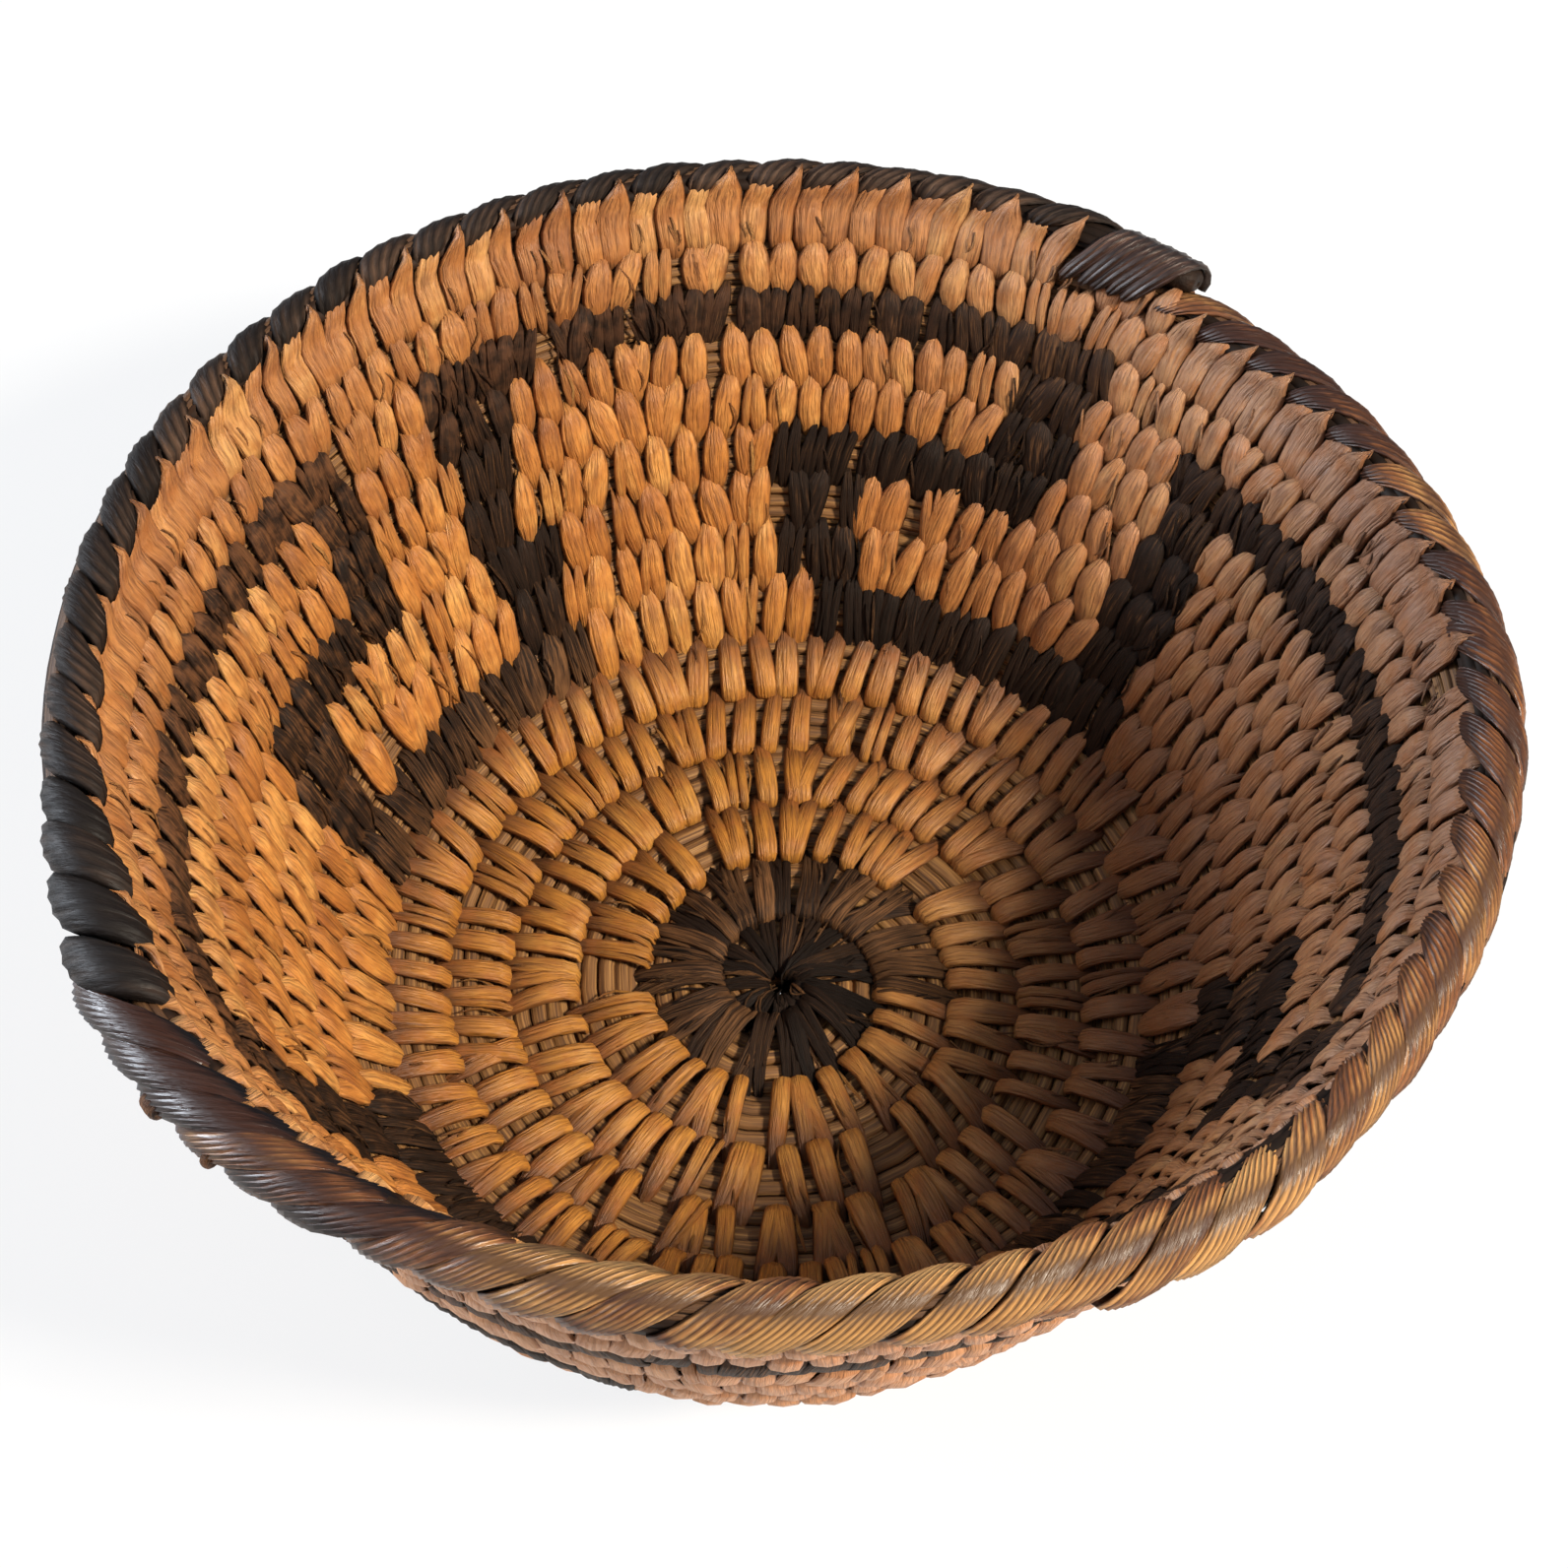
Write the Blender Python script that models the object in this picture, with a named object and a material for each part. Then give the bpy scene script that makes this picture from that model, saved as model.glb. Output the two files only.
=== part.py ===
# Coiled bowl basket, in metres, +Z up, standing on its flat floor at z = 0.
# One foundation bundle spirals out from the start at the middle of the floor and up the wall to the
# rim. It grows clockwise as seen from above. Splints of pale willow and of near-black fibre are sewn
# round it, each course standing on the one before, and the rim course is overcast: with broad brown
# laces for part of the way round, and with narrower black ones for the rest.
# A place on the coil is its turn, counted from the back of the hole, so that the course at turn t
# lies between the boundary line of turn t and that of turn t + 1.

import math

import bmesh
import bpy
from mathutils import Vector

# Start, courses and turns
hole_radius = 0.0013
first_course_width = 0.0081
rim_course_width = 0.004304
coil_thickness = 0.0046
first_turn = -0.9
last_turn = 15.1
course_thinning = (first_course_width - rim_course_width) / (last_turn - 0.5)
core_first_turn = -0.4
core_last_turn = 15.02
stations_per_turn = 24
coil_end_azimuth = math.radians(54)

# Bowl profile, measured along the floor and up the wall from the middle of the hole. The bowl is a
# little out of true: the wall leans out at the back, and on the steep side it stands up straighter,
# bends more gently out of the floor and has wider courses.
floor_flat_reach = 0.0223
wall_bend_reach = 0.0556
wall_slope = math.radians(64.4)
wall_lean = math.radians(4.9)
lean_azimuth = math.radians(94)
steep_side_azimuth = math.radians(252)
steep_side_power = 2.4
steep_side_slope = math.radians(5.0)
steep_side_flat_shift = 0.0058
steep_side_bend_shift = 0.0165
steep_side_stretch_share = 0.043
profile_steps = 160
least_step_share = 0.01

# Sewing round the foundation
sewing_thickness = 0.0005
core_clearance = 0.0003
seat_gap = 0.00045
seat_height = 0.0021
splint_end_gap = 0.0003
crest_share = 0.27
core_sides = 6
finest_core = 0.0003

# Overcast rim
lace_ridge = 0.0006
lace_valley = 0.00015
brown_lace_count = 38
black_lace_count = 29
lace_change_azimuth = math.radians(209)
taper_start_azimuth = math.radians(140)
coil_end_share = 0.7
tip_share = 0.55
sharp_angle = math.radians(40)

# Colour runs of the three courses that carry the fret's bands, as azimuths in degrees from +X,
# read clockwise from the turn that each course starts at. Willow fills what lies between them.
outer_band_runs = [(402.5, 326), (312, 231), (219, 143), (131, 54)]
middle_band_runs = [(402.5, 394), (352, 326), (312, 304), (260, 231),
                    (221, 212), (172, 143.5), (131, 125), (89, 54)]
inner_band_runs = [(348, 304), (260, 209), (172, 123), (86, 34)]
dark_start_turns = 2.16

# Colours
willow_tan = (0.46, 0.24, 0.09, 1.0)
fibre_black = (0.035, 0.022, 0.017, 1.0)
lace_brown = (0.20, 0.09, 0.035, 1.0)
core_straw = (0.36, 0.22, 0.10, 1.0)


def clear_scene():
    for obj in list(bpy.data.objects):
        bpy.data.objects.remove(obj, do_unlink=True)


def make_material(name, colour, roughness):
    material = bpy.data.materials.new(name)
    material.use_nodes = True
    shader = material.node_tree.nodes["Principled BSDF"]
    shader.inputs["Base Color"].default_value = colour
    shader.inputs["Roughness"].default_value = roughness
    shader.inputs["Metallic"].default_value = 0.0
    material.diffuse_color = colour
    return material


# The spiral

def boundary(turn):
    """Arc length from the middle of the hole to the inner edge of the course at this turn."""
    turn = max(turn, 0.0)
    return hole_radius + first_course_width * turn - course_thinning * turn * turn / 2


def azimuth_of(turn):
    return coil_end_azimuth + 2 * math.pi * (last_turn - turn)


def turn_at(course, azimuth_degrees):
    """Turn of the course counted inwards from the rim, at an azimuth from 54 to 414 degrees."""
    return last_turn - course - (math.radians(azimuth_degrees) - coil_end_azimuth) / (2 * math.pi)


# The bowl's middle surface

def steep_share(azimuth):
    """How far an azimuth lies on the bowl's steep side, from 0 to 1."""
    return max(math.cos(azimuth - steep_side_azimuth), 0.0) ** steep_side_power


def slope_at(reach, azimuth):
    steep = steep_share(azimuth)
    bend_start = floor_flat_reach - steep_side_flat_shift * steep
    bend_end = wall_bend_reach + steep_side_bend_shift * steep
    bend = min(max((reach - bend_start) / (bend_end - bend_start), 0.0), 1.0)
    slope = wall_slope - wall_lean * math.cos(azimuth - lean_azimuth) + steep_side_slope * steep
    return slope * bend * bend * (3 - 2 * bend)


full_reach = boundary(last_turn + 1)
profile_step = full_reach * (1 + steep_side_stretch_share) / profile_steps
profiles = {}


def stretched(reach, azimuth):
    """The same place on the bowl's own profile, whose courses are wider on the steep side."""
    return reach * (1 + steep_side_stretch_share * steep_share(azimuth) * reach / full_reach)


def profile_at(azimuth):
    """Radius and height along the profile at one azimuth, at equal steps of arc length."""
    key = round(math.degrees(azimuth) % 360, 3)
    if key not in profiles:
        points = [(0.0, 0.0)]
        for i in range(profile_steps):
            slope = slope_at((i + 0.5) * profile_step, azimuth)
            radius, height = points[-1]
            points.append((radius + profile_step * math.cos(slope), height + profile_step * math.sin(slope)))
        profiles[key] = points
    return profiles[key]


def surface_point(reach, azimuth, lift):
    """Point over the middle surface, lifted towards the inside of the bowl."""
    points = profile_at(azimuth)
    reach = stretched(reach, azimuth)
    place = reach / profile_step
    index = min(int(place), profile_steps - 1)
    part = place - index
    radius = points[index][0] * (1 - part) + points[index + 1][0] * part
    height = points[index][1] * (1 - part) + points[index + 1][1] * part
    slope = slope_at(reach, azimuth)
    radius -= lift * math.sin(slope)
    height += lift * math.cos(slope) + coil_thickness / 2
    return Vector((radius * math.cos(azimuth), radius * math.sin(azimuth), height))


# Cross-sections of the coil

def course_width(turn):
    width = boundary(turn + 1) - boundary(turn)
    taper_start = turn_at(0, math.degrees(taper_start_azimuth))
    if turn > taper_start:
        width *= 1 - (1 - coil_end_share) * (turn - taper_start) / (last_turn - taper_start)
    return width


def grid_section(turn):
    """Outer outline of a course: seats on the courses before and after, and flat crests between."""
    azimuth = azimuth_of(turn)
    low = boundary(turn) + seat_gap / 2
    width = course_width(turn)
    high = boundary(turn) + width - seat_gap / 2
    middle = boundary(turn) + width / 2
    crest = width * crest_share
    seat = seat_height / 2
    half = coil_thickness / 2
    return [surface_point(low, azimuth, -seat), surface_point(low, azimuth, seat),
            surface_point(middle - crest, azimuth, half), surface_point(middle + crest, azimuth, half),
            surface_point(high, azimuth, seat), surface_point(high, azimuth, -seat),
            surface_point(middle + crest, azimuth, -half), surface_point(middle - crest, azimuth, -half)]


def core_section(turn, clearance):
    """Outline of the foundation bundle, or of the room round it."""
    azimuth = azimuth_of(turn)
    width = course_width(turn)
    middle = boundary(turn) + width / 2
    across = max((width - seat_gap) / 2 - sewing_thickness - core_clearance, finest_core) + clearance
    through = coil_thickness / 2 - sewing_thickness - core_clearance + clearance
    points = []
    for i in range(core_sides):
        angle = -2 * math.pi * i / core_sides
        points.append(surface_point(middle + across * math.cos(angle), azimuth, through * math.sin(angle)))
    return points


def grid_place(turn):
    return (last_turn - turn) * stations_per_turn


def section_between(maker, turn):
    """Section on the straight chord between the two grid stations on either side of a turn."""
    place = grid_place(turn)
    before = math.ceil(place)
    after = math.floor(place)
    first = maker(last_turn - before / stations_per_turn)
    if before == after:
        return first
    second = maker(last_turn - after / stations_per_turn)
    part = before - place
    return [a.lerp(b, part) for a, b in zip(first, second)]


def stations(first, last):
    """Turns of a stretch: its two ends and the grid stations well inside them."""
    margin = least_step_share / stations_per_turn
    turns = [first]
    for i in range(math.floor(grid_place(first)), math.ceil(grid_place(last)) - 1, -1):
        turn = last_turn - i / stations_per_turn
        if first + margin < turn < last - margin:
            turns.append(turn)
    turns.append(last)
    return turns


# Meshes

def add_tube(bm, sections):
    """Skin through a list of closed sections, without its ends."""
    rings = [[bm.verts.new(point) for point in section] for section in sections]
    for before, after in zip(rings, rings[1:]):
        count = len(before)
        for i in range(count):
            following = (i + 1) % count
            bm.faces.new((before[i], before[following], after[following], after[i]))
    return rings


def add_end_ring(bm, outer, inner):
    """Close the end of a sleeve between its outline and its bore."""
    i = 0
    j = 0
    shift = nearest_index(outer[0].co, inner)
    while i < len(outer) or j < len(inner):
        a = outer[i % len(outer)]
        b = inner[(j + shift) % len(inner)]
        if i / len(outer) <= j / len(inner):
            bm.faces.new((a, outer[(i + 1) % len(outer)], b))
            i += 1
        else:
            bm.faces.new((a, inner[(j + 1 + shift) % len(inner)], b))
            j += 1


def nearest_index(point, ring):
    distances = [(vert.co - point).length for vert in ring]
    return distances.index(min(distances))


def finish(name, bm, material, home):
    bmesh.ops.recalc_face_normals(bm, faces=bm.faces)
    mesh = bpy.data.meshes.new(name)
    bm.to_mesh(mesh)
    bm.free()
    mesh.shade_smooth()
    mesh.set_sharp_from_angle(angle=sharp_angle)
    obj = bpy.data.objects.new(name, mesh)
    obj.data.materials.append(material)
    obj.parent = home
    bpy.context.scene.collection.objects.link(obj)
    return obj


def trim(turn, direction):
    """Turn moved by half the gap that two splints keep end to end."""
    radius = surface_point(boundary(turn) + course_width(turn) / 2, azimuth_of(turn), 0.0).xy.length
    return turn + direction * splint_end_gap / 2 / (2 * math.pi * radius)


def bore_section(turn):
    return core_section(turn, core_clearance)


def make_core(home, material):
    """The foundation: one unbroken bundle from the start to the end of the rim course."""
    bm = bmesh.new()
    turns = stations(core_first_turn, core_last_turn)
    rings = add_tube(bm, [section_between(bare_core_section, turn) for turn in turns])
    bm.faces.new(rings[0])
    bm.faces.new(rings[-1])
    print("foundation turns", round(core_last_turn - core_first_turn, 2),
          "least gap to itself", round(least_gap(rings), 5), "m")
    return finish("foundation_coil", bm, material, home)


def bare_core_section(turn):
    return core_section(turn, 0.0)


def least_gap(rings):
    """Least distance between corners of rings that lie about a turn apart."""
    least = float("inf")
    for i, ring in enumerate(rings):
        for other in rings[i + stations_per_turn - 1:i + stations_per_turn + 2]:
            for a in ring:
                for b in other:
                    least = min(least, (a.co - b.co).length)
    return least


def make_sewing(home, name, material, first, last):
    """Sewing of one colour from one turn to another, round the foundation where that runs."""
    bm = bmesh.new()
    turns = stations(trim(first, 1), trim(last, -1))
    outer = add_tube(bm, [section_between(grid_section, turn) for turn in turns])
    bore_first = max(turns[0], core_first_turn - bore_end_room())
    inner = add_tube(bm, [section_between(bore_section, turn) for turn in stations(bore_first, turns[-1])])
    if bore_first > turns[0]:
        bm.faces.new(outer[0])
        bm.faces.new(inner[0])
    else:
        add_end_ring(bm, outer[0], inner[0])
    add_end_ring(bm, outer[-1], inner[-1])
    return finish(name, bm, material, home)


def bore_end_room():
    """Share of a turn that a bore runs on past the end of the foundation."""
    return core_clearance / first_course_width


def lace_section(turn, bulge, shrink):
    """Outline of the overcast rim, which keeps its seat on the course below and bulges elsewhere."""
    points = section_between(grid_section, turn)
    centre = sum(points, Vector()) / len(points)
    laced = []
    for i, point in enumerate(points):
        if i < 2:
            laced.append(point)
        else:
            away = point - centre
            laced.append(centre + away * shrink + away.normalized() * bulge)
    return laced


def make_lacing(home, name, material, first, last, count, closed_end):
    """Overcast laces as one ribbed sleeve, a ridge for each lace and a valley between."""
    bm = bmesh.new()
    first = trim(first, 1)
    last = trim(last, -1)
    sections = []
    for i in range(2 * count + 1):
        turn = first + (last - first) * i / (2 * count)
        bulge = lace_ridge if i % 2 else lace_valley
        shrink = tip_share if closed_end and i == 2 * count else 1.0
        sections.append(lace_section(turn, bulge, shrink))
    outer = add_tube(bm, sections)
    bore_last = min(last, core_last_turn + bore_end_room()) if closed_end else last
    inner = add_tube(bm, [section_between(bore_section, turn) for turn in stations(first, bore_last)])
    add_end_ring(bm, outer[0], inner[0])
    if closed_end:
        bm.faces.new(outer[-1])
        bm.faces.new(inner[-1])
    else:
        add_end_ring(bm, outer[-1], inner[-1])
    return finish(name, bm, material, home)


def make_banded_course(home, course, runs, willow, black):
    """One course in which dark runs of the fret take turns with willow; returns where it ends."""
    turn = last_turn - course - 1
    for i, (start, stop) in enumerate(runs):
        dark_from = turn_at(course, start)
        dark_to = turn_at(course, stop)
        if dark_from - turn > finest_core:
            make_sewing(home, "willow_c%d_run%d" % (course, i + 1), willow, turn, dark_from)
        make_sewing(home, "dark_c%d_run%d" % (course, i + 1), black, dark_from, dark_to)
        turn = dark_to
    return turn


def make_plain_courses(home, courses, turn, material):
    """Courses of one colour, each sewn on from where the last one ended; returns the end."""
    for course in courses:
        course_end = last_turn - course
        make_sewing(home, "willow_c%d" % course, material, turn, course_end)
        turn = course_end
    return turn


def rim_centre():
    """Middle of the rim's outline in plan, as x and y."""
    points = []
    for i in range(stations_per_turn + 1):
        points += lace_section(last_turn - 1 + i / stations_per_turn, lace_ridge, 1.0)
    xs = [point.x for point in points]
    ys = [point.y for point in points]
    return (min(xs) + max(xs)) / 2, (min(ys) + max(ys)) / 2


def make_home():
    """Empty that carries every piece and puts the middle of the rim over the origin."""
    home = bpy.data.objects.new("basket", None)
    x, y = rim_centre()
    home.location = (-x, -y, 0.0)
    bpy.context.scene.collection.objects.link(home)
    return home


def build():
    clear_scene()
    home = make_home()
    willow = make_material("willow_splint", willow_tan, 0.62)
    black = make_material("black_splint", fibre_black, 0.55)
    brown = make_material("brown_lace", lace_brown, 0.38)
    straw = make_material("foundation_rods", core_straw, 0.75)

    make_core(home, straw)
    start_end = first_turn + dark_start_turns
    make_sewing(home, "dark_start", black, first_turn, start_end)
    turn = make_plain_courses(home, (13, 12, 11, 10), start_end, willow)
    turn = make_banded_course(home, 9, inner_band_runs, willow, black)
    turn = make_plain_courses(home, (8, 7), turn, willow)
    turn = make_banded_course(home, 6, middle_band_runs, willow, black)
    turn = make_plain_courses(home, (5, 4), turn, willow)
    turn = make_banded_course(home, 3, outer_band_runs, willow, black)
    turn = make_plain_courses(home, (2, 1), turn, willow)
    lace_change = turn_at(0, math.degrees(lace_change_azimuth))
    make_lacing(home, "rim_laces_brown", brown, turn, lace_change, brown_lace_count, False)
    make_lacing(home, "rim_laces_black", black, lace_change, last_turn, black_lace_count, True)


build()
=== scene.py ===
import math

import bpy
import numpy as np
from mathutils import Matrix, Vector


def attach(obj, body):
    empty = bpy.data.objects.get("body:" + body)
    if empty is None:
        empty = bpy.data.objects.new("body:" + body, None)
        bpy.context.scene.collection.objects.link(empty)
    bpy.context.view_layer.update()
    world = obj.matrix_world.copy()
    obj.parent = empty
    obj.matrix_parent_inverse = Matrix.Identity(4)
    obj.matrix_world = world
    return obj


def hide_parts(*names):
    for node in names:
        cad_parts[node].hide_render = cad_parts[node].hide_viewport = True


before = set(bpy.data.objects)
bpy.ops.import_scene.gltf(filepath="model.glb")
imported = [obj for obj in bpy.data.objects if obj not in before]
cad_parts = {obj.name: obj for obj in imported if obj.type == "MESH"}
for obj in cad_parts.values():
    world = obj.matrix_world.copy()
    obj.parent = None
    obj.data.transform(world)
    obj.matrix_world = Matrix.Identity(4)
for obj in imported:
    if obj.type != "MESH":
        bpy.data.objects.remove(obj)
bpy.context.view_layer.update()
scene = bpy.context.scene

# Camera, fitted to the outline of the bowl and to its rows
viewpoint = {"eye": (0.000916, -0.161799, 0.260636), "turn": (35.66026, -1.54841, 2.37755), "lens": 65.86}

camera = bpy.data.objects.new("camera", bpy.data.cameras.new("camera"))
camera.data.sensor_width = 36
camera.data.lens = viewpoint["lens"]
camera.data.clip_start = 0.01
camera.location = viewpoint["eye"]
camera.rotation_euler = [math.radians(angle) for angle in viewpoint["turn"]]
scene.collection.objects.link(camera)
scene.camera = camera
print("camera placed")


# The coil that everything is wound on

coil = {
    "holeRadius": 0.0013, "firstWidth": 0.0081, "rimWidth": 0.004304, "thickness": 0.0046,
    "firstTurn": -0.9, "lastTurn": 15.1, "endAzimuth": 54.0,
    "flatReach": 0.0223, "bendReach": 0.0556, "wallSlope": 64.4, "wallLean": 4.9, "leanAzimuth": 94.0,
    "steepAzimuth": 252.0, "steepPower": 2.4, "steepSlope": 5.0, "steepFlatShift": 0.0058,
    "steepBendShift": 0.0165, "steepStretch": 0.043, "taperAzimuth": 140.0, "endShare": 0.7,
    "home": (0.000916, -0.003045), "overrun": 0.04, "stepsPerTurn": 96, "profileSteps": 160,
}


def edgeReach(turn):
    # distance along the floor and wall from the hole to the inner edge of the course
    thinning = (coil["firstWidth"] - coil["rimWidth"]) / (coil["lastTurn"] - 0.5)
    turn = np.maximum(turn, 0.0)
    return coil["holeRadius"] + coil["firstWidth"] * turn - thinning * turn * turn / 2


def azimuthOf(turn):
    return math.radians(coil["endAzimuth"]) + 2 * math.pi * (coil["lastTurn"] - turn)


def turnOf(course, azimuth):
    return coil["lastTurn"] - course - (azimuth - coil["endAzimuth"]) / 360


def steepShare(azimuth):
    # how far an azimuth lies on the bowl's steep side
    return np.maximum(np.cos(azimuth - math.radians(coil["steepAzimuth"])), 0) ** coil["steepPower"]


def stretched(reach, azimuth):
    # courses are a little wider on the steep side
    return reach * (1 + coil["steepStretch"] * steepShare(azimuth) * reach / edgeReach(coil["lastTurn"] + 1))


def slopeAt(reach, azimuth):
    share = steepShare(azimuth)
    start = coil["flatReach"] - coil["steepFlatShift"] * share
    end = coil["bendReach"] + coil["steepBendShift"] * share
    bend = np.clip((reach - start) / (end - start), 0, 1)
    steep = coil["wallSlope"] - coil["wallLean"] * np.cos(azimuth - math.radians(coil["leanAzimuth"]))
    return np.radians(steep + coil["steepSlope"] * share) * bend * bend * (3 - 2 * bend)


def surfaceAt(reach, azimuth):
    reach = stretched(reach, azimuth)
    steps = (np.arange(coil["profileSteps"]) + 0.5) / coil["profileSteps"]
    slope = slopeAt(reach[:, None] * steps, azimuth[:, None])
    radius = np.cos(slope).mean(1) * reach
    height = np.sin(slope).mean(1) * reach + coil["thickness"] / 2
    home = coil["home"]
    return np.stack([radius * np.cos(azimuth) + home[0], radius * np.sin(azimuth) + home[1], height], 1)


def courseWidth(turn):
    width = edgeReach(turn + 1) - edgeReach(turn)
    start = turnOf(0, coil["taperAzimuth"])
    taper = np.clip((turn - start) / (coil["lastTurn"] - start), 0, None)
    return width * (1 - (1 - coil["endShare"]) * taper)


coilEnds = (coil["firstTurn"], coil["lastTurn"] + coil["overrun"])
coilTurns = np.linspace(*coilEnds, int((coilEnds[1] - coilEnds[0]) * coil["stepsPerTurn"]) + 1)
coilAzimuths = azimuthOf(coilTurns)
coilLow = edgeReach(coilTurns)
coilWide = courseWidth(coilTurns)
coilMiddle = surfaceAt(coilLow + coilWide / 2, coilAzimuths)
coilAcross = surfaceAt(coilLow + coilWide, coilAzimuths) - surfaceAt(coilLow, coilAzimuths)
coilTilt = slopeAt(stretched(coilLow + coilWide / 2, coilAzimuths), coilAzimuths)
coilLift = np.stack([-np.sin(coilTilt) * np.cos(coilAzimuths), -np.sin(coilTilt) * np.sin(coilAzimuths),
                     np.cos(coilTilt)], 1)
coilLengths = np.concatenate([[0], np.cumsum(np.linalg.norm(np.diff(coilMiddle, axis=0), axis=1))])
coilRadii = np.hypot(coilMiddle[:, 0] - coil["home"][0], coilMiddle[:, 1] - coil["home"][1])


def lengthAt(turn):
    return float(np.interp(turn, coilTurns, coilLengths))


def turnAtLength(length):
    return float(np.interp(length, coilLengths, coilTurns))


def radiusAt(turn):
    return float(np.interp(turn, coilTurns, coilRadii))


def courseOf(turn):
    # course counted inwards from the rim, and azimuth from 54 to 414 degrees
    place = coil["lastTurn"] - turn
    course = int(math.floor(place))
    return course, coil["endAzimuth"] + 360 * (place - course)


def addAttribute(mesh, name, kind, values):
    attribute = mesh.attributes.new(name, kind, "POINT")
    key = "vector" if kind == "FLOAT_VECTOR" else "value"
    attribute.data.foreach_set(key, np.asarray(values).ravel())


guideMesh = bpy.data.meshes.new("coilGuide")
guideMesh.from_pydata(coilMiddle.tolist(), [(i, i + 1) for i in range(len(coilMiddle) - 1)], [])
addAttribute(guideMesh, "across", "FLOAT_VECTOR", coilAcross.astype(np.float32))
addAttribute(guideMesh, "lift", "FLOAT_VECTOR", coilLift.astype(np.float32))
guide = bpy.data.objects.new("coilGuide", guideMesh)
scene.collection.objects.link(guide)
print("coil length", round(float(coilLengths[-1]), 3), "m")


# Node helpers

def put(tree, kind, inputs=None, **settings):
    node = tree.nodes.new(kind)
    for key, value in settings.items():
        setattr(node, key, value)
    for key, value in (inputs or {}).items():
        socket = node.inputs[key]
        if isinstance(value, bpy.types.NodeSocket):
            tree.links.new(value, socket)
        else:
            socket.default_value = value
    return node


def calc(tree, operation, a, b=0.0, c=0.0):
    return put(tree, "ShaderNodeMath", {0: a, 1: b, 2: c}, operation=operation).outputs[0]


def plus(tree, a, b):
    return calc(tree, "ADD", a, b)


def minus(tree, a, b):
    return calc(tree, "SUBTRACT", a, b)


def times(tree, a, b):
    return calc(tree, "MULTIPLY", a, b)


def vectorCalc(tree, operation, a, b):
    return put(tree, "ShaderNodeVectorMath", {0: a, 1: b}, operation=operation).outputs[0]


def scaled(tree, vector, factor):
    return put(tree, "ShaderNodeVectorMath", {0: vector, "Scale": factor}, operation="SCALE").outputs[0]


def join(tree, x=0.0, y=0.0, z=0.0):
    return put(tree, "ShaderNodeCombineXYZ", {0: x, 1: y, 2: z}).outputs[0]


def split(tree, vector):
    # the x, y and z of a vector
    return put(tree, "ShaderNodeSeparateXYZ", {0: vector}).outputs


def position(tree):
    return put(tree, "GeometryNodeInputPosition").outputs[0]


def field(tree, name, kind="FLOAT"):
    return put(tree, "GeometryNodeInputNamedAttribute", {"Name": name}, data_type=kind).outputs["Attribute"]


def openTree(name, sockets):
    # sockets: name, type, default value or None
    tree = bpy.data.node_groups.new(name, "GeometryNodeTree")
    tree.interface.new_socket(name="Geometry", in_out="INPUT", socket_type="NodeSocketGeometry")
    for label, kind, value in sockets:
        socket = tree.interface.new_socket(name=label, in_out="INPUT", socket_type=kind)
        if value is not None:
            socket.default_value = value
    tree.interface.new_socket(name="Geometry", in_out="OUTPUT", socket_type="NodeSocketGeometry")
    return tree, put(tree, "NodeGroupInput"), put(tree, "NodeGroupOutput")


winding = {"rippleScale": 260.0, "leanFrom": 0.9, "unevenness": 0.0003}

# Takes work laid out flat (x along the coil, y across the course as a share, z out of it) and winds it up
windTree, windIn, windOut = openTree("windOntoCoil", [
    ("Guide", "NodeSocketObject", None), ("Unevenness", "NodeSocketFloat", 0.0001)])
guideInfo = put(windTree, "GeometryNodeObjectInfo", {"Object": windIn.outputs["Guide"]})
guideCurve = put(windTree, "GeometryNodeMeshToCurve", {"Mesh": guideInfo.outputs["Geometry"]})
flat = split(windTree, position(windTree))
sampled = {}
for label in ("across", "lift"):
    sampled[label] = put(windTree, "GeometryNodeSampleCurve", {
        "Curves": guideCurve.outputs[0], "Value": field(windTree, label, "FLOAT_VECTOR"), "Length": flat[0],
    }, mode="LENGTH", data_type="FLOAT_VECTOR").outputs
across = scaled(windTree, sampled["across"]["Value"], minus(windTree, flat[1], 0.5))
wound = vectorCalc(windTree, "ADD", sampled["across"]["Position"], across)
wound = vectorCalc(windTree, "ADD", wound, scaled(windTree, sampled["lift"]["Value"], flat[2]))
ripple = put(windTree, "ShaderNodeTexNoise",
             {"Vector": wound, "Scale": winding["rippleScale"], "Detail": 1.0})
ripple = vectorCalc(windTree, "SUBTRACT", ripple.outputs["Color"], (0.5, 0.5, 0.5))
wound = vectorCalc(windTree, "ADD", wound, scaled(windTree, ripple, windIn.outputs["Unevenness"]))
laidFlat = put(windTree, "GeometryNodeStoreNamedAttribute",
               {"Geometry": windIn.outputs["Geometry"], "Name": "flat", "Value": position(windTree)},
               data_type="FLOAT_VECTOR", domain="POINT")
placed = put(windTree, "GeometryNodeSetPosition", {"Geometry": laidFlat.outputs[0], "Position": wound})
windTree.links.new(placed.outputs[0], windOut.inputs[0])


def windUp(tree, treeIn, treeOut, laidOut):
    # the last steps of a tree: its flat work is wound on, smoothed and given its finish
    wound = put(tree, "GeometryNodeGroup", {
        "Geometry": laidOut.outputs[0], "Guide": treeIn.outputs["Guide"],
        "Unevenness": treeIn.outputs["Unevenness"]}, node_tree=windTree)
    smooth = put(tree, "GeometryNodeSetShadeSmooth", {"Geometry": wound.outputs[0]})
    finished = put(tree, "GeometryNodeSetMaterial",
                   {"Geometry": smooth.outputs[0], "Material": treeIn.outputs["Finish"]})
    tree.links.new(finished.outputs[0], treeOut.inputs[0])


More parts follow.
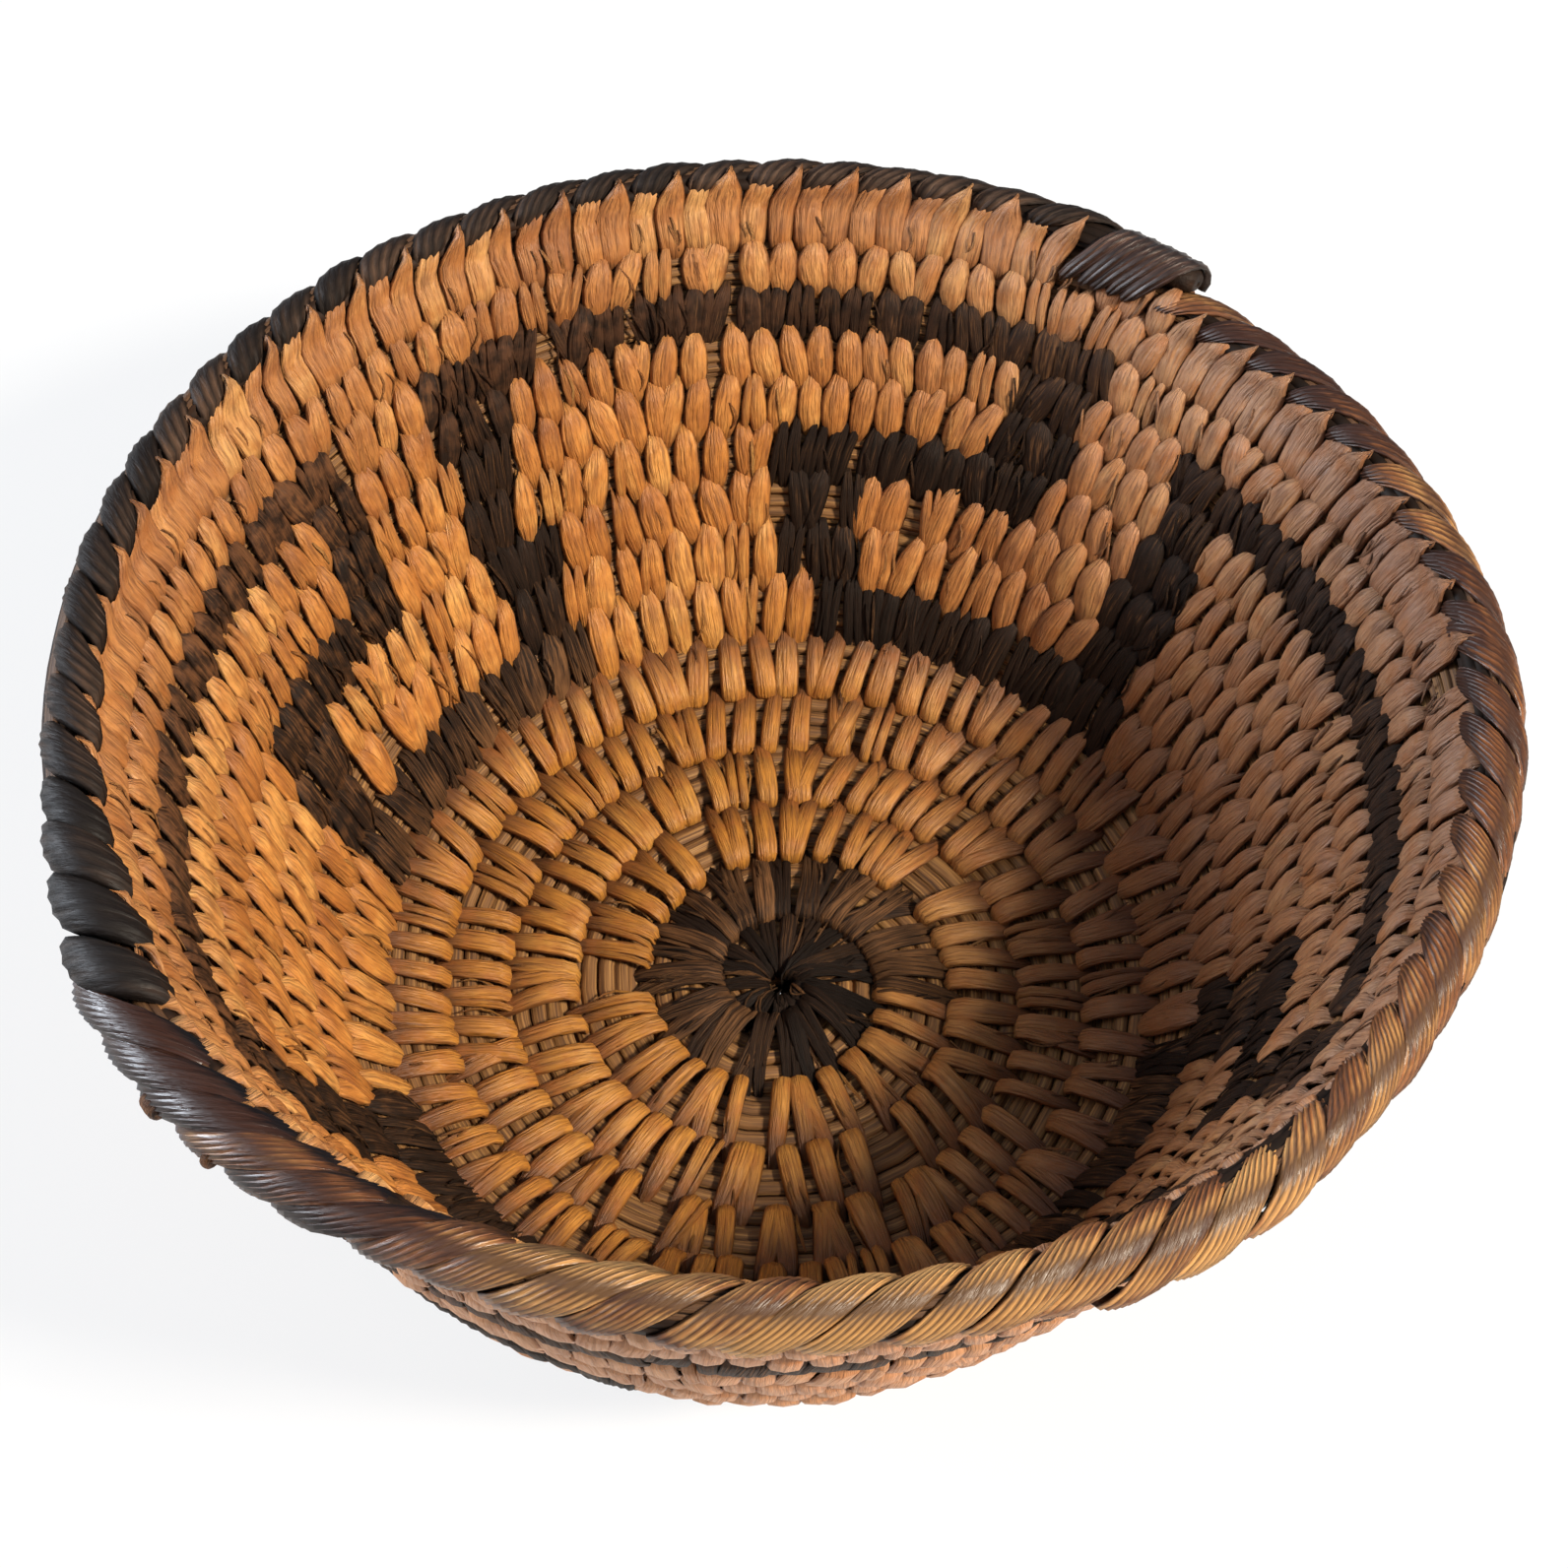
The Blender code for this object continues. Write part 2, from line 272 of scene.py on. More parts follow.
# One shape for every stitch or lace: set out flat, fanned and leaned, then wound onto the coil
sewTree, sewIn, sewOut = openTree("sewAlongCoil", [
    ("Guide", "NodeSocketObject", None), ("Shapes", "NodeSocketCollection", None),
    ("Unevenness", "NodeSocketFloat", 0.0001), ("Finish", "NodeSocketMaterial", None)])
shapes = put(sewTree, "GeometryNodeCollectionInfo",
             {"Collection": sewIn.outputs["Shapes"], "Separate Children": True, "Reset Children": True})
laid = put(sewTree, "GeometryNodeInstanceOnPoints", {
    "Points": sewIn.outputs["Geometry"], "Instance": shapes.outputs[0], "Pick Instance": True,
    "Instance Index": field(sewTree, "shape", "INT"), "Scale": field(sewTree, "stretch", "FLOAT_VECTOR")})
real = put(sewTree, "GeometryNodeRealizeInstances", {"Geometry": laid.outputs[0]})
spot = split(sewTree, position(sewTree))
local = minus(sewTree, spot[0], field(sewTree, "spot"))
fanned = calc(sewTree, "MULTIPLY_ADD", minus(sewTree, spot[1], 0.5), field(sewTree, "fan"), 1.0)
lean = times(sewTree, minus(sewTree, winding["leanFrom"], spot[1]), field(sewTree, "lean"))
along = plus(sewTree, calc(sewTree, "DIVIDE", local, fanned), lean)
along = plus(sewTree, along, field(sewTree, "spot"))
pushed = plus(sewTree, spot[2], field(sewTree, "push"))
leaned = put(sewTree, "GeometryNodeSetPosition",
             {"Geometry": real.outputs[0], "Position": join(sewTree, along, spot[1], pushed)})
windUp(sewTree, sewIn, sewOut, leaned)


def makePiece(name, mesh, tree, inputs, nodes):
    # the node tree's result as a plain mesh, riding on the one body
    obj = bpy.data.objects.new(name, mesh)
    scene.collection.objects.link(obj)
    modifier = obj.modifiers.new("winding", "NODES")
    modifier.node_group = tree
    for item in tree.interface.items_tree:
        if item.item_type == "SOCKET" and item.in_out == "INPUT" and item.name in inputs:
            modifier[item.identifier] = inputs[item.name]
    bpy.context.view_layer.update()
    graph = bpy.context.evaluated_depsgraph_get()
    made = bpy.data.meshes.new_from_object(obj.evaluated_get(graph))
    made.name = name
    obj.modifiers.clear()
    obj.data = made
    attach(obj, "root")
    if nodes:
        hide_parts(*nodes)
    print(name, len(made.polygons), "faces")


def sew(name, stitches, shapesFolder, finish, nodes, unevenness=winding["unevenness"]):
    # stitches: list of dictionaries with spot, tone, shape, stretch and, for some, lean, fan and push
    mesh = bpy.data.meshes.new(name)
    mesh.from_pydata([(s["spot"], 0, 0) for s in stitches], [], [])
    for label in ("spot", "lean", "fan", "tone", "push"):
        addAttribute(mesh, label, "FLOAT", [s.get(label, 0.0) for s in stitches])
    addAttribute(mesh, "shape", "INT", [s["shape"] for s in stitches])
    addAttribute(mesh, "stretch", "FLOAT_VECTOR", [s["stretch"] for s in stitches])
    inputs = {"Guide": guide, "Shapes": shapesFolder, "Unevenness": unevenness, "Finish": finish}
    makePiece(name, mesh, sewTree, inputs, nodes)


# Materials

grain = {"toneShift": 37.0, "streakLength": 5.0, "blotchLength": 7.0, "streakRough": 0.6}


def shaderOf(name, rough=0.5):
    material = bpy.data.materials.new(name)
    material.use_nodes = True
    tree = material.node_tree
    shader = tree.nodes["Principled BSDF"]
    shader.inputs["Roughness"].default_value = rough
    return material, tree, shader


def attributeOf(tree, name, output="Fac"):
    return put(tree, "ShaderNodeAttribute", attribute_name=name).outputs[output]


def placeOf(tree):
    return put(tree, "ShaderNodeTexCoord").outputs["Object"]


def noiseOf(tree, vector, scale, detail, rough=0.5):
    settings = {"Vector": vector, "Scale": scale, "Detail": detail, "Roughness": rough}
    return put(tree, "ShaderNodeTexNoise", settings).outputs[0]


def spread(tree, value, fromLow, fromHigh, toLow, toHigh):
    # one range of values carried over to another
    settings = {0: value, 1: fromLow, 2: fromHigh, 3: toLow, 4: toHigh}
    return put(tree, "ShaderNodeMapRange", settings).outputs[0]


def shadeOf(tree, value, look):
    # the look's dark, mid and light colour at its three levels
    node = put(tree, "ShaderNodeValToRGB", {0: value})
    elements = node.color_ramp.elements
    elements.new(0.5)
    for element, level, shade in zip(elements, look["levels"], ("dark", "mid", "light")):
        element.position = level
        element.color = (*look[shade], 1)
    return node.outputs[0]


def tint(tree, base, factor, colour):
    return put(tree, "ShaderNodeMix", {0: factor, 6: base, 7: (*colour, 1)}, data_type="RGBA",
               clamp_factor=True).outputs[2]


def grainOf(tree, fine, coarse, seed):
    # streaks along each strand, shifted from stitch to stitch by its tone
    uv = put(tree, "ShaderNodeUVMap", uv_map="UVMap").outputs[0]
    shift = times(tree, attributeOf(tree, "tone"), grain["toneShift"] + seed)
    moved = vectorCalc(tree, "ADD", uv, join(tree, shift, seed))
    streak = vectorCalc(tree, "MULTIPLY", moved, (fine, grain["streakLength"], 1.0))
    blotch = vectorCalc(tree, "MULTIPLY", moved, (coarse, grain["blotchLength"], 1.0))
    return noiseOf(tree, streak, 1.0, 3.0, grain["streakRough"]), noiseOf(tree, blotch, 1.0, 2.0)


def coverWith(tree, shader, base, height, look):
    strength, distance = look["bump"]
    tree.links.new(base, shader.inputs["Base Color"])
    bump = put(tree, "ShaderNodeBump", {"Strength": strength, "Distance": distance, "Height": height})
    tree.links.new(bump.outputs[0], shader.inputs["Normal"])


# In the looks below, four numbers are a range and what it is carried over to
willowLook = {
    "dark": (0.36, 0.115, 0.021), "mid": (0.62, 0.240, 0.050), "light": (0.84, 0.42, 0.115),
    "groove": (0.105, 0.033, 0.010), "outside": (0.50, 0.222, 0.094), "greyTint": (0.38, 0.205, 0.120),
    "golden": (0.44, 0.188, 0.020), "levels": (0.15, 0.5, 0.85), "grain": (8.0, 1.6, 0.0), "blotch": 0.8,
    "tone": (0.55, -0.18), "goldenHeight": (0.006, 0.017, 0.62, 0.0), "shadeGreyRight": (0.0, 0.045, 0.0, 0.6),
    "greyHeight": (0.03, 0.05, 0.0, 0.3), "outsideDepth": (0.0, -0.0012, 0.0, 0.85),
    "fibres": (0.36, 0.56, 0.62, 0.0), "fibresInside": (-0.0010, 0.0, 0.45, 1.0),
    "floorHeight": (0.010, 0.013, 1.0, 0.0), "floorEndShade": (0.30, 0.82, 0.0, 0.88),
    "wallEndShade": (0.15, -0.40, 0.0, 0.66), "endsInside": (-0.0008, 0.0004, 0.0, 1.0),
    "patinaScale": 450.0, "patina": (0.48, 0.66, 0.0, 0.5), "shadeRight": (0.018, 0.034, 0.0, 0.55),
    "shadeLow": (0.014, 0.030, 1.0, 0.0), "shadeFarRight": (0.046, 0.060, 0.0, 0.36),
    "grooveShade": (0.0, 0.7, 0.7, 0.0), "roughness": (0.3, 0.7, 0.66, 0.42), "bump": (0.9, 0.0006),
}


def makeWillow(look):
    material, tree, shader = shaderOf("willowSplint")
    streak, blotch = grainOf(tree, *look["grain"])
    flatPlace = split(tree, attributeOf(tree, "flat", "Vector"))
    place = placeOf(tree)
    spot = split(tree, place)
    tone = calc(tree, "MULTIPLY_ADD", attributeOf(tree, "tone"), *look["tone"])
    base = shadeOf(tree, calc(tree, "MULTIPLY_ADD", blotch, look["blotch"], tone), look)
    # yellower on the floor, greyer on the right of the wall as painted cool shade and sheen, greyer towards
    # the rim, and pinker outside
    base = tint(tree, base, spread(tree, spot[2], *look["goldenHeight"]), look["golden"])
    greyTint = spread(tree, spot[0], *look["shadeGreyRight"])
    greyTint = plus(tree, greyTint, spread(tree, spot[2], *look["greyHeight"]))
    base = tint(tree, base, greyTint, look["greyTint"])
    base = tint(tree, base, spread(tree, flatPlace[2], *look["outsideDepth"]), look["outside"])
    # fibres along the splint, and painted shade on the ends that run under the next course
    fibres = spread(tree, streak, *look["fibres"])
    fibres = times(tree, fibres, spread(tree, flatPlace[2], *look["fibresInside"]))
    base = tint(tree, base, fibres, look["groove"])
    atFloor = spread(tree, spot[2], *look["floorHeight"])
    floorEndShade = times(tree, spread(tree, flatPlace[1], *look["floorEndShade"]), atFloor)
    wallEndShade = times(tree, spread(tree, flatPlace[1], *look["wallEndShade"]), minus(tree, 1.0, atFloor))
    ends = times(tree, plus(tree, floorEndShade, wallEndShade), spread(tree, flatPlace[2], *look["endsInside"]))
    base = tint(tree, base, ends, look["groove"])
    patina = noiseOf(tree, place, look["patinaScale"], 3.0)
    base = tint(tree, base, spread(tree, patina, *look["patina"]), look["dark"])
    # painted shadow low on the right wall and over the far right of the bowl
    paintedShade = times(tree, spread(tree, spot[0], *look["shadeRight"]), spread(tree, spot[2], *look["shadeLow"]))
    paintedShade = plus(tree, paintedShade, spread(tree, spot[0], *look["shadeFarRight"]))
    base = tint(tree, base, paintedShade, look["groove"])
    # painted shade in the grooves along the sides of each stitch, where the crest value is low
    base = tint(tree, base, spread(tree, attributeOf(tree, "crest"), *look["grooveShade"]), look["groove"])
    tree.links.new(spread(tree, streak, *look["roughness"]), shader.inputs["Roughness"])
    coverWith(tree, shader, base, streak, look)
    return material


darkLook = {
    "dark": (0.010, 0.006, 0.004), "mid": (0.023, 0.0118, 0.0070), "light": (0.17, 0.078, 0.031),
    "brown": (0.125, 0.052, 0.024), "bare": (0.27, 0.108, 0.036), "rough": 0.62, "shine": 0.16,
    "levels": (0.25, 0.6, 0.95), "grain": (9.0, 2.0, 3.0), "streak": 1.6,
    "rubbedHeight": (0.008, 0.014, 1.15, 0.35), "levelHeight": (0.008, 0.014, -0.225, -0.27),
    "blotches": (0.45, 0.7, 0.0, 0.6), "patinaScale": 650.0, "fadedHeight": (0.034, 0.046, 0.0, 1.0),
    "fadedPatches": (0.38, 0.6, 0.1, 0.9), "fadedLeft": (0.015, -0.030, 0.25, 1.0),
    "barePatches": (0.47, 0.62, 0.0, 1.0), "bareLeft": (-0.030, -0.046, 0.0, 0.32),
    "grooveShade": (0.0, 0.75, 0.8, 0.0), "bump": (0.9, 0.0004),
}


def makeDark(look):
    material, tree, shader = shaderOf("darkSplint", look["rough"])
    shader.inputs["Specular IOR Level"].default_value = look["shine"]
    streak, blotch = grainOf(tree, *look["grain"])
    place = placeOf(tree)
    spot = split(tree, place)
    # the start has been handled most and shows the most brown
    rubbed = spread(tree, spot[2], *look["rubbedHeight"])
    level = times(tree, minus(tree, attributeOf(tree, "tone"), 0.5), rubbed)
    level = plus(tree, level, spread(tree, spot[2], *look["levelHeight"]))
    base = shadeOf(tree, calc(tree, "MULTIPLY_ADD", streak, look["streak"], level), look)
    base = tint(tree, base, spread(tree, blotch, *look["blotches"]), look["mid"])
    # the band under the rim has faded to brown
    patina = noiseOf(tree, place, look["patinaScale"], 3.0)
    faded = spread(tree, spot[2], *look["fadedHeight"])
    faded = times(tree, faded, spread(tree, patina, *look["fadedPatches"]))
    faded = times(tree, faded, spread(tree, spot[0], *look["fadedLeft"]))
    base = tint(tree, base, faded, look["brown"])
    # on the left wall it has rubbed through to bare wood in places
    bare = calc(tree, "MULTIPLY_ADD", patina, 0.5, times(tree, streak, 0.5))
    bare = times(tree, spread(tree, bare, *look["barePatches"]), spread(tree, spot[0], *look["bareLeft"]))
    base = tint(tree, base, bare, look["bare"])
    # painted shade in the grooves between the strips, where the crest value is low
    base = tint(tree, base, spread(tree, attributeOf(tree, "crest"), *look["grooveShade"]), look["dark"])
    coverWith(tree, shader, base, streak, look)
    return material


strawLook = {
    "dark": (0.07, 0.028, 0.009), "mid": (0.20, 0.088, 0.025), "light": (0.42, 0.215, 0.065),
    "rough": 0.7, "levels": (0.3, 0.52, 0.75), "grain": (110.0, 30.0, 5000.0),
    "shadedHeight": (0.046, 0.052, 0.0, 0.85), "bump": (0.6, 0.0002),
}


def makeStraw(look):
    material, tree, shader = shaderOf("foundationRods", look["rough"])
    streak = vectorCalc(tree, "MULTIPLY", attributeOf(tree, "flat", "Vector"), look["grain"])
    streak = noiseOf(tree, streak, 1.0, 3.0)
    base = shadeOf(tree, streak, look)
    # painted shade on the rods near the rim, where they show between the laces
    high = split(tree, placeOf(tree))[2]
    base = tint(tree, base, spread(tree, high, *look["shadedHeight"]), look["dark"])
    coverWith(tree, shader, base, streak, look)
    return material


laceLook = {
    "dark": (0.060, 0.022, 0.013), "mid": (0.36, 0.130, 0.043), "light": (0.90, 0.46, 0.155),
    "groove": (0.030, 0.011, 0.006), "highlightColour": (0.27, 0.155, 0.135), "levels": (0.12, 0.45, 0.85),
    "grain": (11.0, 1.2, 7.0), "streak": 0.9, "blotch": 0.7, "tone": (0.55, -0.39), "middle": 0.52,
    "ends": (0.14, 0.42, 0.0, 0.46), "stainedSide": (-0.72, -0.69, 0.0),
    "stainedReach": (0.050, 0.062, 0.0, 1.0), "stain": 0.56, "stainSmooth": 0.15, "stainShine": 0.3,
    "dull": 0.20, "dullRight": (0.025, 0.055), "dullBack": (0.005, 0.040), "frontReach": (-0.062, -0.048),
    "frontShare": 0.8, "grooveShade": (0.15, 0.8, 0.9, 0.0), "highlightShare": 0.70, "highlightCrest": (0.72, 1.0),
    "highlightPatches": (0.40, 0.58, 0.0, 1.0), "roughness": (0.35, 0.65, 0.55, 0.34), "shine": 0.45,
    "ribPower": 2.2, "ribHeight": 0.9, "streakHeight": 0.7, "bump": (0.9, 0.0004),
}
strapLook = dict(
    laceLook, dark=(0.030, 0.014, 0.010), mid=(0.095, 0.045, 0.030), light=(0.30, 0.17, 0.11),
    groove=(0.012, 0.006, 0.004), highlightColour=(0.20, 0.15, 0.13), tone=(0.55, -0.52),
    ends=(0.14, 0.42, 0.0, 0.15), stain=0.0, dull=0.0, highlightShare=0.12, roughness=(0.35, 0.65, 0.57, 0.36))
blackLook = dict(
    strapLook, dark=(0.014, 0.010, 0.008), mid=(0.045, 0.028, 0.020), light=(0.125, 0.070, 0.044),
    groove=(0.008, 0.005, 0.004), ends=(0.14, 0.42, 0.0, 0.10), stain=0.28, shine=0.14,
    roughness=(0.35, 0.65, 0.75, 0.54))


def makeLace(name, look):
    material, tree, shader = shaderOf(name)
    streak, blotch = grainOf(tree, *look["grain"])
    crest = attributeOf(tree, "crest")
    # golden along the middle over the crest of the rim, with painted shade at the ends where the lace dives
    # under its neighbours
    along = split(tree, put(tree, "ShaderNodeUVMap", uv_map="UVMap").outputs[0])[1]
    offMiddle = calc(tree, "ABSOLUTE", minus(tree, along, look["middle"]))
    level = calc(tree, "MULTIPLY_ADD", streak, look["streak"], times(tree, blotch, look["blotch"]))
    level = plus(tree, level, calc(tree, "MULTIPLY_ADD", attributeOf(tree, "tone"), *look["tone"]))
    level = minus(tree, level, spread(tree, offMiddle, *look["ends"]))
    # the laces on one side have gone dark and shiny
    place = placeOf(tree)
    side = put(tree, "ShaderNodeVectorMath", {0: place, 1: look["stainedSide"]}, operation="DOT_PRODUCT")
    stained = spread(tree, side.outputs["Value"], *look["stainedReach"])
    level = minus(tree, level, times(tree, stained, look["stain"]))
    # duller on the right and at the back, and brightest at the front
    spot = split(tree, place)
    level = minus(tree, level, spread(tree, spot[0], *look["dullRight"], 0.0, look["dull"]))
    level = minus(tree, level, spread(tree, spot[1], *look["dullBack"], 0.0, look["dull"]))
    front = spread(tree, spot[1], *look["frontReach"], look["dull"] * look["frontShare"], 0.0)
    base = shadeOf(tree, plus(tree, level, front), look)
    # painted shade in the grooves between the ribs, where the crest value is low
    base = tint(tree, base, spread(tree, crest, *look["grooveShade"]), look["groove"])
    # painted highlight: grey-violet light on the rib crests of the stained laces
    paintedHighlight = times(tree, stained, spread(tree, crest, *look["highlightCrest"], 0.0, look["highlightShare"]))
    paintedHighlight = times(tree, paintedHighlight, spread(tree, blotch, *look["highlightPatches"]))
    base = tint(tree, base, paintedHighlight, look["highlightColour"])
    smoother = times(tree, stained, look["stain"] * look["stainSmooth"])
    roughness = minus(tree, spread(tree, streak, *look["roughness"]), smoother)
    tree.links.new(roughness, shader.inputs["Roughness"])
    shine = calc(tree, "MULTIPLY_ADD", stained, look["stain"] * look["stainShine"], look["shine"])
    tree.links.new(shine, shader.inputs["Specular IOR Level"])
    ribs = calc(tree, "POWER", crest, look["ribPower"])
    height = calc(tree, "MULTIPLY_ADD", ribs, look["ribHeight"], times(tree, streak, look["streakHeight"]))
    coverWith(tree, shader, base, height, look)
    return material


willow = makeWillow(willowLook)
dark = makeDark(darkLook)
straw = makeStraw(strawLook)
brownLace = makeLace("brownLace", laceLook)
strap = makeLace("leatheryStrap", strapLook)
blackLace = makeLace("blackLace", blackLook)
print("materials ready")


# Shapes of one stitch, laid flat: x along the coil in metres, y across the course as a share, z out of it

stitchCut = {"halfWidth": 0.00160, "crown": 0.00054, "under": 0.0004, "rise": 0.00186, "span": 0.0052}
darkCut = dict(stitchCut, crown=0.00034)
floorCut = dict(stitchCut, halfWidth=0.00132, crown=0.00064, rise=0.00176, span=0.0075)

# where a stitch bows most, how far that carries, and how fast its crest fades at the ends
stitchForm = {"middle": 0.4, "reach": 0.7, "crestPower": 0.7}

# share across the course, share of the rise, width share, sideways shift in metres
outerPath = [
    (1.10, 0.10, 0.38, 0), (1.08, -0.56, 0.82, 0), (0.88, -1.02, 1.0, 0), (0.42, -1.14, 1.04, 0),
    (0.00, -1.00, 0.98, 0), (-0.17, -0.52, 0.74, 0)]
wallPath = [
    (-0.40, 0.34, 0.30, 0), (-0.28, 0.60, 0.52, 0), (-0.08, 0.84, 0.80, 0), (0.20, 1.00, 1.0, 0),
    (0.50, 1.10, 1.04, 0), (0.76, 1.14, 0.94, 0.0001), (0.98, 1.00, 0.66, 0.0002),
    (1.12, 0.66, 0.36, 0.0003)] + outerPath
floorPath = [
    (-0.06, 0.30, 0.62, 0), (-0.14, 0.82, 0.86, 0), (-0.10, 1.24, 1.0, 0), (0.06, 1.44, 1.04, 0),
    (0.34, 1.34, 1.02, 0), (0.62, 1.08, 0.96, 0), (0.86, 0.74, 0.84, 0), (1.02, 0.40, 0.64, 0)] + outerPath
startPath = [
    (0.08, 0.10, 0.50, 0), (0.02, 0.50, 0.60, 0), (0.08, 0.88, 0.74, 0), (0.24, 1.05, 0.9, 0),
    (0.45, 1.12, 1.0, 0), (0.70, 1.02, 1.0, 0), (0.94, 0.80, 0.92, 0), (1.08, 0.45, 0.7, 0),
    *outerPath[:-1], (0.02, -0.50, 0.7, 0)]

# place across the strand, height on the crown, and its crest value there, which is low where the finish
# paints shade into the grooves
roundCut = [(-1.0, 0.0, 0.0), (-0.78, 0.64, 0.8), (0.0, 1.0, 1.0), (0.78, 0.64, 0.8), (1.0, 0.0, 0.0),
            (0.0, -1.0, 0.0)]


def strand(path, cut, sizes, closed=True, sideways=0.0, half=1.0):
    # a strand that follows the path, as vertices, faces, corner coordinates and crest values
    span, rise = sizes["span"], sizes["rise"]
    places = np.array([(y * span, z * rise) for y, z, w, s in path])
    count = len(path)
    verts, crest, coords = [], [], []
    for i, (y, z, w, s) in enumerate(path):
        if closed:
            before, after = places[i - 1], places[(i + 1) % count]
        else:
            before, after = places[max(i - 1, 0)], places[min(i + 1, count - 1)]
        run = (after - before) / (np.linalg.norm(after - before) or 1)
        out = np.array([-run[1], run[0]])
        for a, c, shade in cut:
            height = c * sizes["crown"] if c >= 0 else c * sizes["under"]
            place = places[i] + out * height
            verts.append((s + sideways + a * w * half * sizes["halfWidth"], place[0] / span, place[1]))
            crest.append(shade * min(1.0, abs(z)) ** stitchForm["crestPower"])
            coords.append(((a + 1) / 2, i / count))
    faces, corners = [], []
    sides = len(cut)
    for i in range(count if closed else count - 1):
        for j in range(sides):
            k = (j + 1) % sides
            n = (i + 1) % count
            faces.append((i * sides + j, n * sides + j, n * sides + k, i * sides + k))
            v1 = coords[i * sides + j][1]
            v2 = v1 + 1 / count
            u1, u2 = coords[i * sides + j][0], coords[i * sides + k][0]
            corners += [(u1, v1), (u1, v2), (u2, v2), (u2, v1)]
    if not closed:
        for i, order in ((0, range(sides)), (count - 1, reversed(range(sides)))):
            face = [i * sides + j for j in order]
            faces.append(face)
            corners += [coords[v] for v in face]
    return verts, faces, corners, crest


def makeShapes(folderName, shapeList):
    # each shape is a list of strands joined in one mesh
    folder = bpy.data.collections.new(folderName)
    for index, strands in enumerate(shapeList):
        verts, faces, corners, crest = [], [], [], []
        for v, f, c, e in strands:
            start = len(verts)
            verts += v
            faces += [[start + i for i in face] for face in f]
            corners += c
            crest += e
        mesh = bpy.data.meshes.new("%s%02d" % (folderName, index))
        mesh.from_pydata(verts, [], faces)
        uv = mesh.uv_layers.new(name="UVMap")
        uv.data.foreach_set("uv", np.array(corners, np.float32).ravel())
        addAttribute(mesh, "crest", "FLOAT", np.array(crest, np.float32))
        folder.objects.link(bpy.data.objects.new(mesh.name, mesh))
    return folder


def bent(path, bow=0.0, twist=0.0, tips=1.0, swell=1.0):
    # the same path, bowed sideways, with ends of another width
    made = []
    for y, z, w, s in path:
        off = y - stitchForm["middle"]
        end = abs(off) / stitchForm["reach"]
        made.append((y, z, w * (1 + (tips - 1) * min(end, 1) ** 2) * swell,
                     s + bow * (1 - end * end) + twist * off * (1 if z > 0 else -1)))
    return made


# bow, twist, width of the ends and width of each whole stitch
wholeWays = [(0.0, 0.0, 1.0, 1.0), (0.00012, 0.0003, 1.0, 1.0), (-0.0001, 0.0002, 0.85, 1.0),
             (0.0, 0.0005, 1.1, 0.94), (0.0001, -0.0002, 0.9, 1.06), (-0.00015, -0.0003, 1.0, 0.88)]
# twist, width of the ends, sideways shift and width share of each half
splitWays = [((0.0002, 0.9, -0.00068, 0.52), (0.0002, 0.9, 0.00070, 0.46)),
             ((-0.0003, 0.9, 0.00040, 0.70), (0.0004, 0.8, -0.00092, 0.34))]
# sideways shift, width share and twist of each strip
stripWays = [((-0.00074, 0.52, 0.0004), (0.00074, 0.50, -0.0003)),
             ((-0.0010, 0.38, 0.0002), (0.0, 0.36, -0.0002), (0.0010, 0.38, 0.0003)),
             ((-0.0008, 0.46, -0.0004), (0.0005, 0.70, 0.0003)),
             ((-0.00115, 0.28, 0.0005), (-0.0004, 0.30, -0.0002), (0.00035, 0.28, 0.0003),
              (0.0011, 0.3, -0.0004))]


def stitchSet(path, cut):
    # whole stitches, bowed or leaning a little, and the last of them split in two along the grain
    made = [[strand(bent(path, *way), roundCut, cut)] for way in wholeWays]
    for halves in splitWays:
        made.append([strand(bent(path, 0.0, twist, tips), roundCut, cut, True, sideways, half)
                     for twist, tips, sideways, half in halves])
    return made


def shreddedSet(path, cut):
    # black splint is brittle: most of its stitches lie in two to four strips
    made = [[strand(bent(path, 0.00015, 0.0004), roundCut, cut)],
            [strand(bent(path, -0.0001, -0.0003, 1.15), roundCut, cut)]]
    for strips in stripWays:
        made.append([strand(bent(path, 0.0, twist, 1.1), roundCut, cut, True, sideways, half)
                     for sideways, half, twist in strips])
    return made


wallShapes = makeShapes("wallStitch", stitchSet(wallPath, stitchCut))
floorShapes = makeShapes("floorStitch", stitchSet(floorPath, floorCut))
darkShapes = makeShapes("darkStitch", shreddedSet(wallPath, darkCut))
floorDarkShapes = makeShapes("floorDarkStitch", shreddedSet(floorPath, darkCut))
startShapes = makeShapes("startStitch", shreddedSet(startPath, darkCut))

# the course under the rim: its stitches run on up the inside of the rim, under the laces
tallOuter = [(1.00, -0.45, 0.80, 0), (0.74, -0.94, 1.0, 0), (0.36, -1.04, 1.0, 0), (0.02, -0.92, 0.92, 0),
             (-0.22, -0.50, 0.70, 0)]
tallPath = [
    (-0.31, 0.22, 0.62, 0), (-0.19, 0.66, 0.86, 0), (0.10, 0.97, 0.98, 0), (0.45, 1.03, 1.0, 0),
    (0.80, 0.90, 1.0, 0), (1.02, 0.84, 0.98, 0.0002), (1.25, 1.02, 0.96, 0.0006), (1.50, 1.10, 0.86, 0.0011),
    (1.62, 0.80, 0.6, 0.0013), (1.05, 0.30, 0.6, 0.0005)] + tallOuter
